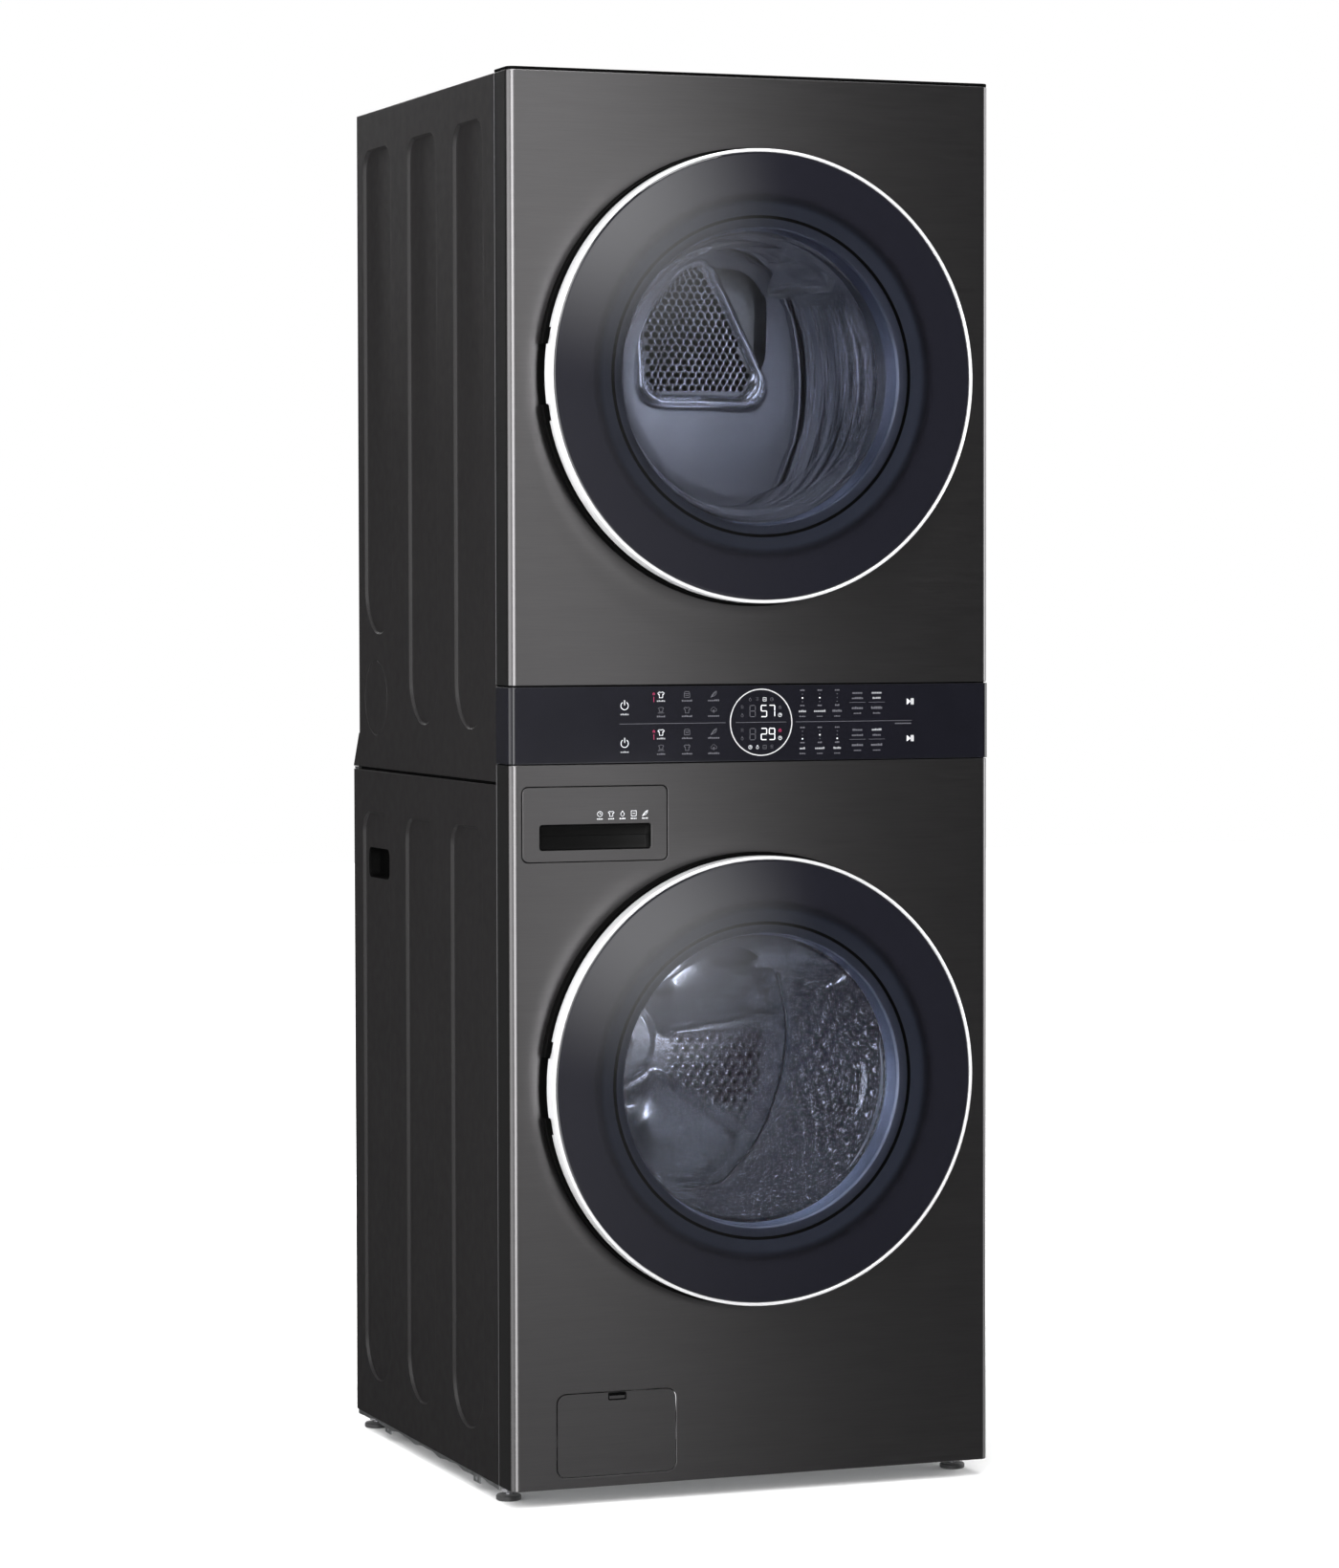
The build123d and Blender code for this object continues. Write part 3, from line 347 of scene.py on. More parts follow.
def lathe(bm, profile, cz, steps=160, shape=None, closed=True):
    """Turns (radius, y) points about an axis along Y, in even steps or at a list of angles.

    shape(radius, y, angle) may move each point; closed joins the last point to the first."""
    rows = []
    for a in steps if isinstance(steps, list) else [TAU * i / steps for i in range(steps)]:
        moved = [shape(r, y, a) if shape else (r, y) for r, y in profile]
        rows.append(corners_of(bm, [(r * math.cos(a), y, cz + r * math.sin(a)) for r, y in moved]))
    n = len(profile)
    for one, two in zip(rows, rows[1:] + rows[:1]):
        for j in range(n if closed else n - 1):
            k = (j + 1) % n
            corners = [one[j], one[k], two[k], two[j]]
            if (corners[0].co - corners[3].co).length < 1e-7:
                corners.pop(3)
            if (corners[1].co - corners[2].co).length < 1e-7:
                corners.pop(2)
            if len(corners) > 2:
                bm.faces.new(corners)


def quarter_arcs(centres, steps):
    """Points of quarter circles, one after the other, from (x, z, radius, first angle in degrees)."""
    return [(cx + r * math.cos(math.radians(start + 90 * i / steps)),
             cz + r * math.sin(math.radians(start + 90 * i / steps)))
            for cx, cz, r, start in centres for i in range(steps + 1)]


def outline_round(x0, x1, z0, z1, r, steps=8):
    """A rounded rectangle as (x, z) points."""
    return quarter_arcs(((x1 - r, z1 - r, r, 0), (x0 + r, z1 - r, r, 90), (x0 + r, z0 + r, r, 180),
                         (x1 - r, z0 + r, r, 270)), steps)


def plate(bm, outline, y_front, y_back, bevel=0.0, inner=None):
    """A flat plate facing -Y with this (x, z) outline, its front edge eased.

    inner cuts a hole of as many points."""
    def ring(points, y, inset):
        cx, cz = (sum(p[axis] for p in points) / len(points) for axis in (0, 1))
        made = []
        for x, z in points:
            d = Vector((x - cx, z - cz))
            if inset:
                d *= max(0.0, 1 - inset / d.length)
            made.append((cx + d[0], y, cz + d[1]))
        return corners_of(bm, made)

    def rings(points, sign):
        eased = [(y_front, sign * bevel), (y_front + bevel, 0)] if bevel else [(y_front, 0)]
        return [ring(points, y, inset) for y, inset in eased + [(y_back, 0)]]

    outer = rings(outline, 1)
    chain(bm, outer)
    if inner:
        hole = rings(inner, -1)
        chain(bm, hole)
        join_rows(bm, hole[0], outer[0])
        join_rows(bm, outer[-1], hole[-1])
    else:
        cap_ends(bm, outer)


def box(bm, low, high):
    centre, size = (Vector(low) + Vector(high)) / 2, Vector(high) - Vector(low)
    for v in bmesh.ops.create_cube(bm, size=1)["verts"]:
        v.co = centre + Vector(v.co[i] * size[i] for i in range(3))


def smoothstep(low, high, value):
    t = min(1.0, max(0.0, (value - low) / (high - low)))
    return t * t * (3 - 2 * t)


# ------------------------------------------------------------------ cabinet skins
# Half width, y of the front, y of the seam between fronts and sides, thickness of the sheet
HALF, FRONT, SEAM, SKIN = 0.3425, -0.3415, -0.2875, 0.0010
WASHER_REAR, DRYER_REAR, TOP_PANEL = 0.3585, 0.3305, 1.8850    # y, y and z of these panels
SIDE_FRONT = -0.2868    # y where the side panels begin
DOOR_HOLE_R = 0.2465
HOLD = 0.0006    # a narrow flat strip beside each bend, which keeps the shading of the flat faces true


def fill_with_holes(bm, loops):
    """Fills the flat region between an outer loop of vertices and the hole loops inside it."""
    flat = [v for loop in loops for v in loop]
    for corners in tessellate_polygon([[v.co for v in loop] for loop in loops]):
        face = [flat[i] for i in corners]
        if (face[1].co - face[0].co).cross(face[2].co - face[0].co).length > 1e-12:
            bm.faces.new(face)


def face_outward(bm, faces, outward):
    """Turns these faces over if the biggest of them doesn't look this way."""
    if max(faces, key=lambda f: f.calc_area()).normal.dot(outward) < 0:
        bmesh.ops.reverse_faces(bm, faces=faces)


def sheet(bm, *args, **kwargs):
    """Finishes an open skin whose faces look outward, and gives it the thickness of the sheet."""
    thick = finish(bm, *args, turned=True, **kwargs).modifiers.new("sheet", "SOLIDIFY")
    thick.thickness, thick.offset = SKIN, -1


def grown(x0, x1, z0, z1, r, by, steps=6):
    return outline_round(x0 - by, x1 + by, z0 - by, z1 + by, r + by, steps)


def front_line(h, f, r, hold=()):
    """(x, y) points round the front: half width h, face at f, corners of radius r, back to the seam."""
    arc = [math.radians(90 * i / 8) for i in range(9)]
    left = [(-h, SEAM)] + [(-h, f + r + gap) for gap in hold]
    left += [(-h + r - r * math.cos(a), f + r - r * math.sin(a)) for a in arc]
    left += [(-h + r + gap, f) for gap in hold]
    return left + [(-x, y) for x, y in left[::-1]]


def front_skin(name, z0, z1, slot, look, stands_for=(), holes=(), half=HALF, front=FRONT, radius=0.011,
               roll=0.0012):
    """A front wrapped round to the sides: flat face with openings, rounded corners, returns to the seam."""
    bm = bmesh.new()
    turns = [math.radians(22.5 * i) for i in range(5)]
    levels = [(roll - roll * math.sin(a), z0 + roll - roll * math.cos(a)) for a in turns]
    levels += [(0.0, z0 + roll + HOLD), (0.0, z1 - roll - HOLD)]
    levels += [(roll - roll * math.sin(a), z1 - roll + roll * math.cos(a)) for a in turns[::-1]]
    rows = [corners_of(bm, [(x, y, z) for x, y in
                            front_line(half - inset, front + inset, radius - inset, (HOLD,))])
            for inset, z in levels]
    middle_span, last = len(levels) // 2 - 1, len(rows[0]) // 2 - 1
    for n, (one, two) in enumerate(zip(rows, rows[1:])):
        for i in range(len(one) - 1):
            if (n, i) != (middle_span, last):
                bm.faces.new((one[i], one[i + 1], two[i + 1], two[i]))
    low, high = rows[middle_span], rows[middle_span + 1]
    loops = [[low[last], low[last + 1], high[last + 1], high[last]]]
    for hole in holes:
        rims = [corners_of(bm, [(x, y, z) for x, z in hole(by)]) for by, y in
                ((0.0007 + HOLD, front), (0.0007, front), (0.0002, front + 0.0002), (0.0, front + 0.0007))]
        chain(bm, rims)
        loops.append(rims[0])
    fill_with_holes(bm, loops)
    weld(bm)
    face_outward(bm, bm.faces[:], Vector((0, -1, 0)))
    sheet(bm, name, "cabinet", slot, MAT[look], stands_for, sharp=30)


def door_hole(which):
    return lambda by: circle(0.0, middle(which + "_door_ring")[2], DOOR_HOLE_R + by, 128)


# Edges of the drawer's face and of the filter cover: x0, x1, z0, z1, corner radius
DRAWER, COVER = (-0.325, -0.123, 0.852, 0.950, 0.008), (-0.279, -0.113, 0.0385, 0.148, 0.012)
TOP_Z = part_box("dryer_front_panel")[1][2]
front_skin("washer_front", 0.0232, 0.9793, "black_steel", "black_steel", ["washer_front_panel"],
           [door_hole("washer"), lambda by: grown(*DRAWER, by + 0.001), lambda by: grown(*COVER, by + 0.001)])
front_skin("dryer_front", 1.0832, TOP_Z - 0.0040, "black_steel", "black_steel", ["dryer_front_panel"],
           [door_hole("dryer")])
front_skin("dryer_top_trim", TOP_Z - 0.0039, TOP_Z, "black_plastic", "bezel_black",
           half=HALF - 0.0003, front=FRONT + 0.0003, radius=0.0107, roll=0.0010)
front_skin("control_band", 0.9807, 1.0813, "band_gloss", "band_gloss", ["control_fascia"],
           half=0.343, front=-0.342, radius=0.010, roll=0.0006)
# Black strips just behind the front, in the gaps above and below the control band: painted shade in the gaps
for name, z0, z1 in (("gap_liner_low", 0.9740, 0.9860), ("gap_liner_high", 1.0762, 1.0880)):
    front_skin(name, z0, z1, "black_plastic", "bezel_black", half=HALF - 0.0032, front=FRONT + 0.0032,
               radius=0.0078)

# Cap under the top trim, between its rolled edge and the top panel
bm = bmesh.new()
rows = [corners_of(bm, [(x, y, z) for x, y in front_line(HALF - 0.0012, FRONT + 0.0012, 0.0098)])
        for z in (TOP_Z - 0.0001, TOP_Z - 0.0012)]
cap_ends(bm, rows)
chain(bm, rows)
finish(bm, "dryer_front_cap", "cabinet", "black_plastic", MAT["black_plastic"])

# Hems: the bright cut edges where the fronts meet the sides
bm = bmesh.new()
for side in (-1, 1):
    for z0, z1 in ((0.0240, 0.9780), (1.0845, TOP_Z - 0.005)):
        line = circle(side * (HALF - 0.0002), SEAM + 0.0001, 0.0006, 10)
        rows = [corners_of(bm, [(x, y, z) for x, y in line]) for z in (z0, z1)]
        chain(bm, rows)
        cap_ends(bm, rows)
finish(bm, "front_hems", "cabinet", "black_steel", MAT["dark_chrome"])


def rib_loop(y0, y1, z0, z1, inset, steps=10):
    """Outline of a pressed recess as (y, z), nearly square on top and round at the bottom."""
    low_r, high_r = (y1 - y0) / 2 - 0.001 - inset, 0.030 - inset
    y0, y1, z0, z1 = y0 + inset, y1 - inset, z0 + inset, z1 - inset
    return quarter_arcs(((y1 - high_r, z1 - high_r, high_r, 0), (y0 + high_r, z1 - high_r, high_r, 90),
                         (y0 + low_r, z0 + low_r, low_r, 180), (y1 - low_r, z0 + low_r, low_r, 270)), steps)


# How a pressed recess goes in: (inset, depth) from its edge
PRESS = ((-HOLD, 0.0), (0.0, 0.0), (0.0005, 0.0003), (0.0013, 0.0017), (0.0024, 0.0032), (0.0034, 0.0040),
         (0.0044, 0.0042), (0.0044 + HOLD, 0.0042))
HAND_HOLD = (0.202, 0.298, 0.800, 0.841, 0.010)    # y0, y1, z0, z1, corner radius


def side_skins(name, outline, ribs, stands_for, hand_hold=False, score=None):
    """Both pressed side panels of one machine; outline is (y0, y1, z0, z1)."""
    bm = bmesh.new()
    y0, y1, z0, z1 = outline
    for side in (-1, 1):
        def rings(levels, line):
            return [corners_of(bm, [(side * (HALF - depth), y, z) for y, z in line(edge)])
                    for edge, depth in levels]

        edges = rings(((0.0, 0.0014), (0.0002, 0.0006), (0.0007, 0.0001), (0.0014, 0.0), (0.0014 + HOLD, 0.0)),
                      lambda e: [(y0 + e, z0 + e), (y1 - e, z0 + e), (y1 - e, z1 - e), (y0 + e, z1 - e)])
        chain(bm, edges)
        loops = [edges[-1]]
        for n, rib in enumerate(ribs):
            pressed = rings(PRESS, lambda inset: rib_loop(*rib, inset))
            chain(bm, pressed)
            loops.append(pressed[0])
            if hand_hold and n == 0:
                a, b, c, d, r = HAND_HOLD
                cup = rings(((-0.0016, 0.0042), (-0.0010, 0.0042), (0.0, 0.0050), (0.0006, 0.0080),
                             (0.0022, 0.0170), (0.0050, 0.0190)),
                            lambda e: outline_round(a + e, b - e, c + e, d - e, r - e * 0.5, 6))
                # The cup is near-black: painted shade in the hand hold's recess
                chain(bm, cup[1:], material=1)
                join_rows(bm, cup[0], cup[1])
                bm.faces.new(cup[-1]).material_index = 1
                fill_with_holes(bm, [pressed[-1], cup[0]])
            else:
                bm.faces.new(pressed[-1])
        if score:
            cy, cz, radius = score
            groove = rings(((HOLD, 0.0), (0.0, 0.0), (-0.0005, 0.0006), (-0.0012, 0.0006), (-0.0017, 0.0),
                            (-0.0017 - HOLD, 0.0)), lambda e: circle(cy, cz, radius + e))
            chain(bm, groove)
            loops.append(groove[0])
            bm.faces.new(groove[-1])
        fill_with_holes(bm, loops)
    weld(bm)
    for side in (-1, 1):
        half = [f for f in bm.faces if f.calc_center_median()[0] * side > 0]
        face_outward(bm, half, Vector((side, 0, 0)))
    sheet(bm, name, "cabinet", "side_paint", [MAT["side_paint"], MAT["bezel_black"]], stands_for, sharp=50)


side_skins("washer_sides", (SIDE_FRONT, WASHER_REAR, 0.0230, 0.9520),
           [(a, b, 0.079, 0.893) for a, b in ((0.1875, 0.3155), (-0.0155, 0.1125), (-0.2265, -0.0905))],
           ["washer_side_panels"], hand_hold=True)
side_skins("dryer_sides", (SIDE_FRONT, DRYER_REAR, 0.9560, TOP_PANEL),
           [(0.1685, 0.2995, 1.146, 1.832), (-0.0385, 0.0925, 1.023, 1.832), (-0.2395, -0.1115, 1.022, 1.832)],
           ["dryer_side_panels"], score=(0.2485, 1.056, 0.0535))

# Wavy lower edge of the galvanised base, below the sides
bm = bmesh.new()
for side in (-1, 1):
    rows = []
    for i in range(181):
        y = -0.282 + 0.636 * i / 180
        low = 0.0182 + 0.0016 * math.sin(y * 52.0) + 0.0007 * math.sin(y * 117.0 + 1.0)
        rows.append(corners_of(bm, [(side * x, y, z) for x, z in
                                    ((0.3406, 0.0240), (0.3412, 0.0225), (0.3412, low + 0.0006), (0.3406, low),
                                     (0.3398, low + 0.0004), (0.3396, 0.0240))]))
    chain(bm, rows)
    cap_ends(bm, rows)
finish(bm, "base_edges", "cabinet", "galvanised", MAT["galvanised"])


# Pressed beads, louvres and screws of the rear panels and of the top. Each helper's place turns
# (u, v, out) on a panel into a position
def bead_line(bm, points, width, height, place):
    """A half-round raised line along a closed path."""
    section = ((-1, -0.2), (-0.8, 0.25), (-0.4, 0.85), (0, 1), (0.4, 0.85), (0.8, 0.25), (1, -0.2))
    rows = []
    for i, (u, v) in enumerate(points):
        (u0, v0), (u1, v1) = points[i - 1], points[(i + 1) % len(points)]
        n = Vector((v1 - v0, u0 - u1)).normalized() * width / 2
        rows.append(corners_of(bm, [place(u + n[0] * k, v + n[1] * k, height * up) for k, up in section]))
    chain(bm, rows + rows[:1])


def screw_head(bm, u, v, place, size=0.0050):
    rows = []
    for k, up in ((1.5, -0.2), (1.5, 0.20), (1.05, 0.26), (1.0, 0.30), (1.0, 0.72), (0.86, 0.84)):
        reach = [size * k * (1.0 if n % 2 or k > 1.01 else 0.87) for n in range(12)]
        rows.append(corners_of(bm, [place(u + r * math.cos(TAU * n / 12), v + r * math.sin(TAU * n / 12),
                                          size * up * 0.5) for n, r in enumerate(reach)]))
    chain(bm, rows)
    cap_ends(bm, rows)


def louvre(bm, x, z, width, place):
    """A pressed vent slot: a sloping hood open below."""
    section = ((0.0060, 0.0), (0.0030, 0.0011), (0.0, 0.0018), (-0.0008, 0.0018), (-0.0008, -0.0003),
               (0.0060, -0.0003))
    rows = [corners_of(bm, [place(x + side * width / 2 * (0.97 if up else 1.0), z + dz, up)
                            for side in (-1, -0.9, 0, 0.9, 1)]) for dz, up in section]
    chain(bm, rows + rows[:1], closed=False)
    for k in (0, -1):
        bm.faces.new([row[k] for row in rows])


def dryer_rear(x, z, out):
    return (x, DRYER_REAR + out, z)


def washer_rear(x, z, out):
    return (x, WASHER_REAR + out, z)


def on_top(x, y, out):
    return (x, y, TOP_PANEL + out)


bm = bmesh.new()
for x0, x1 in ((-0.305, -0.185), (0.185, 0.305)):
    bead_line(bm, outline_round(x0, x1, 1.215, 1.835, 0.045), 0.012, 0.0022, dryer_rear)
for radius in (0.145, 0.052):
    bead_line(bm, circle(0.0, 1.53, radius), 0.011, 0.0022, dryer_rear)
bead_line(bm, outline_round(-0.312, 0.312, 0.055, 0.845, 0.060), 0.012, 0.0022, washer_rear)
for k in range(7):
    louvre(bm, -0.215, 1.045 + 0.014 * k, 0.130, dryer_rear)
    louvre(bm, 0.0, 0.100 + 0.014 * k, 0.220, washer_rear)
for x in (-0.329, 0.329):
    for z in (1.09, 1.35, 1.61, 1.862):
        screw_head(bm, x, z, dryer_rear)
    for z in (0.075, 0.29, 0.50, 0.71, 0.925):
        screw_head(bm, x, z, washer_rear)
for x in (-0.11, 0.11):
    screw_head(bm, x, 1.866, dryer_rear)
    screw_head(bm, x, 0.038, washer_rear)
finish(bm, "rear_pressings", "cabinet", "galvanised", MAT["galvanised"], sharp=40)

bm = bmesh.new()
bead_line(bm, outline_round(-0.290, 0.290, -0.225, 0.285, 0.050), 0.012, 0.0018, on_top)
bead_line(bm, outline_round(-0.225, 0.225, -0.160, 0.220, 0.040), 0.010, 0.0016, on_top)
for x in (-0.322, 0.322):
    for y in (-0.255, 0.03, 0.312):
        screw_head(bm, x, y, on_top, 0.0042)
finish(bm, "top_pressings", "cabinet", "side_paint", MAT["side_paint"], sharp=40)

# ------------------------------------------------------------------ drawer and filter cover
SLOT = (-0.301, -0.146, 0.867, 0.901, 0.004)    # opening of the drawer's handle
bm = bmesh.new()
plate(bm, outline_round(*DRAWER), FRONT, FRONT + 0.012, 0.0009, outline_round(*SLOT))
finish(bm, "drawer_face", "detergent_drawer", "black_steel", MAT["black_steel"], ["drawer_front"], sharp=40)

bm = bmesh.new()
x0, x1, z0, z1, r = SLOT
hollow = [(0.0003, z1), (0.0012, z1 - 0.0004), (0.0045, z1 - 0.0020), (0.0064, z1 - 0.0060), (0.0074, z1 - 0.0110),
          (0.0078, z1 - 0.0150), (0.0088, z1 - 0.0156), (0.0088, z0 + 0.0060), (0.0070, z0 + 0.0018),
          (0.0012, z0 + 0.0003), (0.0003, z0)]
ends = ((x0, 0.0), (x0 + 0.0004, 0.6), (x0 + 0.0025, 1.0), (x1 - 0.0060, 1.0), (x1 - 0.0012, 0.55), (x1, 0.0))
rows = [corners_of(bm, [(x, FRONT + 0.0003 + depth * squeeze, z) for depth, z in hollow]) for x, squeeze in ends]
chain(bm, rows, closed=False)
back = [corners_of(bm, [(v.co[0], FRONT + 0.0100, v.co[2]) for v in row]) for row in (rows[0], rows[-1])]
chain(bm, [rows[0], back[0], back[1], rows[-1]], closed=False)
for k in (0, -1):
    bm.faces.new([row[k] for row in rows] + [back[1][k], back[0][k]])
finish(bm, "drawer_handle_cup", "detergent_drawer", "black_plastic", MAT["cup_gloss"], sharp=40)

# Finger notch and latch of the filter cover
bm = bmesh.new()
plate(bm, outline_round(-0.2074, -0.1826, 0.1374, 0.1474, 0.0020, 5), FRONT + 0.0002, FRONT + 0.0016, 0.0003,
      outline_round(-0.2062, -0.1838, 0.1388, 0.1462, 0.0012, 5))
plate(bm, outline_round(-0.2058, -0.1842, 0.1430, 0.1460, 0.0012, 5), FRONT + 0.0005, FRONT + 0.0015, 0.0005)
finish(bm, "filter_cover_latch", "filter_cover", "black_plastic", MAT["bezel_black"], sharp=40)

# Dark sheets seen in the gap round the drawer and beside the sides, painted shade in these gaps
bm = bmesh.new()
plate(bm, grown(*DRAWER, 0.0010, 8), FRONT + 0.0010, FRONT + 0.0030, inner=grown(*DRAWER, 0.00025, 8))
for side in (-1, 1):
    low_x, high_x = sorted((side * (HALF - 0.0030), side * (HALF - 0.0055)))
    for y0, y1, z0, z1 in ((SEAM + 0.0010, 0.3300, 0.9480, 0.9600), (SEAM - 0.0010, SEAM + 0.0040, 0.0300, 0.9500),
                           (SEAM - 0.0010, SEAM + 0.0040, 0.9600, 1.8800)):
        box(bm, (low_x, y0, z0), (high_x, y1, z1))
finish(bm, "gap_shade_sheets", "cabinet", "seal_rubber", MAT["bezel_black"], sharp=40)


# ------------------------------------------------------------------ doors
def window_glass(name, cz):
    """Front glass: clear in the middle, black print round it, with a soft edge between."""
    p = Paint(name, (0.006, 0.006, 0.009), 0.03, IOR=1.5)
    x, y, z = p.position()
    clear = p.span(p.away(x, p.sums("SUBTRACT", z, cz)), 0.224, 0.246, 1.0, 0.0, True)
    p.feed(p.bsdf.inputs["Roughness"], p.span(p.noise(0.003, detail=6), 0.45, 0.75, 0.015, 0.05))
    tint = p.blend(p.noise(0.1), (0.52, 0.53, 0.56), (0.55, 0.56, 0.59))
    see = p.node("ShaderNodeBsdfTransparent", Color=tint)
    gloss = p.node("ShaderNodeBsdfGlossy", Roughness=0.02)
    pane = p.mixed(p.node("ShaderNodeFresnel", IOR=1.45).outputs[0], see, gloss)
    p.surface(p.mixed(clear, p.bsdf, pane))
    return p.mat


def bowl_glass():
    """Thick moulded glass that lets lamps through."""
    p = Paint("bowl_glass", (0.80, 0.83, 0.86), 0.02)
    glass = p.node("ShaderNodeBsdfGlass", Color=(0.88, 0.89, 0.92, 1), Roughness=0.01, IOR=1.22)
    wave = p.node("ShaderNodeBump", Height=p.noise(0.05, detail=1), Distance=0.0002, Strength=0.3)
    p.feed(glass.inputs["Normal"], wave.outputs[0])
    lets = p.node("ShaderNodeBsdfTransparent", Color=(0.72, 0.75, 0.78, 1))
    p.surface(p.mixed(p.node("ShaderNodeLightPath").outputs["Is Shadow Ray"], glass, lets))
    return p.mat


MAT["bowl_glass"] = bowl_glass()
MAT["frosted"] = metal("frosted_trim", (0.54, 0.57, 0.68), 0.42, size=0.001, spread=0.04, depth=0.00001)

# Radii of the ring and the glass, the y of the ring's front, back and grip, and half heights of the grip
RING_R, LIP_R, GLASS_R = 0.299, 0.2946, 0.294
RING_FRONT, RING_BACK, PULL_BACK, GAP_BACK, HINGE_BACK = -0.3855, -0.3615, -0.3600, -0.3685, -0.371
PULL_HALF, GAP_HALF, HINGE_HALF = 0.039, 0.061, 0.030


def ring_shape(r, y, a):
    """The ring's back edge: a pull between two gaps on the left, a notch for the hinge on the right."""
    if y > RING_BACK - 0.0005:
        high, left = abs(r * math.sin(a)), math.cos(a) < 0
        if left and high < GAP_HALF:
            y = PULL_BACK if high < PULL_HALF else GAP_BACK
        elif not left and high < HINGE_HALF:
            y = HINGE_BACK
    return r, y


def angle_steps(marks, count):
    """Angles evenly round the circle, with a close pair at each mark for a clean step."""
    found = [TAU * i / count for i in range(count)]
    for mark in marks:
        found = [a for a in found if abs(a - mark) > TAU / count / 2]
        found += [mark - 0.0004, mark + 0.0004]
    return sorted(found)


def door(which, cz, bowl_back):
    body = which + "_door"
    marks = [math.pi + s * math.asin(h / RING_R) for h in (PULL_HALF, GAP_HALF) for s in (-1, 1)]
    marks += [math.asin(HINGE_HALF / RING_R), TAU - math.asin(HINGE_HALF / RING_R)]
    lip, outer = 0.0016, 0.0024
    profile = [(LIP_R, RING_BACK - 0.012), (LIP_R, RING_FRONT + lip)]
    profile += [(LIP_R + lip - lip * math.cos(t), RING_FRONT + lip - lip * math.sin(t))
                for t in (0.5, 1.0, math.pi / 2)]
    profile += [(RING_R - outer + outer * math.sin(t), RING_FRONT + outer - outer * math.cos(t))
                for t in (0.0, 0.4, 0.8, 1.2, math.pi / 2)]
    profile += [(RING_R, RING_BACK), (RING_R - 0.0016, RING_BACK), (RING_R - 0.0016, RING_BACK - 0.012)]
    bm = bmesh.new()
    lathe(bm, profile, cz, angle_steps(marks, 240), ring_shape)
    finish(bm, which + "_ring", body, "ring_chrome", MAT["ring_chrome"], [which + "_door_ring"], sharp=30)

    # Front glass, very slightly crowned, with its edge ground
    bm = bmesh.new()
    radii = [0, 0.06, 0.12, 0.17, 0.2, 0.22, 0.24, 0.26, 0.28, 0.2918, 0.2925]
    front = [(r, -0.3846 - 0.0007 * (1 - (r / GLASS_R) ** 2)) for r in radii]
    profile = front + [(GLASS_R, -0.3838), (GLASS_R, -0.3800), (0.2935, -0.3795), (0.0, -0.3795)]
    lathe(bm, profile, cz, closed=False)
    finish(bm, which + "_window", body, "door_glass", window_glass(which + "_window_glass", cz),
           [which + "_door_glass"])

    # Frosted collar in front of the bowl's lip, and a sleeve behind the lip
    for part, profile in (
            ("_collar", [(0.2460, -0.3790), (0.2400, -0.3785), (0.2280, -0.3767), (0.2160, -0.3752),
                         (0.2060, -0.3745), (0.1990, -0.3740), (0.1968, -0.3732), (0.1958, -0.3700),
                         (0.1956, -0.3672), (0.1960, -0.3672), (0.1963, -0.3700), (0.1974, -0.3728),
                         (0.2060, -0.3728), (0.2160, -0.3738), (0.2280, -0.3755), (0.2400, -0.3775),
                         (0.2460, -0.3780)]),
            ("_sleeve", [(0.2062, -0.3640), (0.2042, -0.3636), (0.2030, -0.3600), (0.2022, -0.3520),
                         (0.2000, -0.3440), (0.1958, -0.3340), (0.1964, -0.3338), (0.2008, -0.3438),
                         (0.2030, -0.3518), (0.2038, -0.3600), (0.2048, -0.3630), (0.2062, -0.3633)])):
        bm = bmesh.new()
        lathe(bm, profile, cz)
        finish(bm, which + part, body, "black_plastic", MAT["frosted"])

    # Bowl: a lip in the frame, stepped ridges, a long wall and a domed back
    wall = [(0.2050, -0.3715), (0.2035, -0.3700), (0.2030, -0.3640), (0.2012, -0.3615), (0.2010, -0.3560),
            (0.1985, -0.3530), (0.1980, -0.3470), (0.1950, -0.3440), (0.1935, -0.3350)]
    depth = bowl_back - (-0.3350)
    wall += [(0.1935 - 0.012 * t ** 1.4, -0.3350 + (depth - 0.030) * t) for t in (0.25, 0.5, 0.75, 1.0)]
    corner_r, corner_y = wall[-1]
    for t in (0.35, 0.7, 1.0, 1.3):
        wall.append((corner_r - 0.026 * (1 - math.cos(t)) - 0.004 * t, corner_y + 0.026 * math.sin(t)))
    dome = [(r, wall[-1][1] + 0.004 * (1 - (r / wall[-1][0]) ** 2)) for r in (0.12, 0.08, 0.04, 0.0)]
    outer = wall + dome
    inner = [(max(0.0, r - 0.0055), y - 0.0055 * smoothstep(0.2, 0.1, r) - 0.0005) for r, y in outer[::-1]]
    inner[0] = (0.0, inner[0][1])
    bm = bmesh.new()
    lathe(bm, outer + inner + [(0.1975, -0.3720), (0.2030, -0.3722)], cz)
    finish(bm, which + "_bowl", body, "bowl_glass", MAT["bowl_glass"], [which + "_door_bowl"], sharp=60)


for node_name in ("door_bezels", "washer_door_frame", "dryer_door_frame"):
    dress(NODES[node_name], MAT["bezel_black"])
WASHER_Z, DRYER_Z = middle("washer_door_ring")[2], middle("dryer_door_ring")[2]
door("washer", WASHER_Z, -0.2405)
door("dryer", DRYER_Z, -0.2855)

# ------------------------------------------------------------------ washer drum
DRUM_R, DRUM_FRONT, DRUM_BACK = 0.265, -0.266, 0.2065    # radius, y of both ends
PETAL_TURN = math.radians(138)    # three petals, the first at 46 degrees


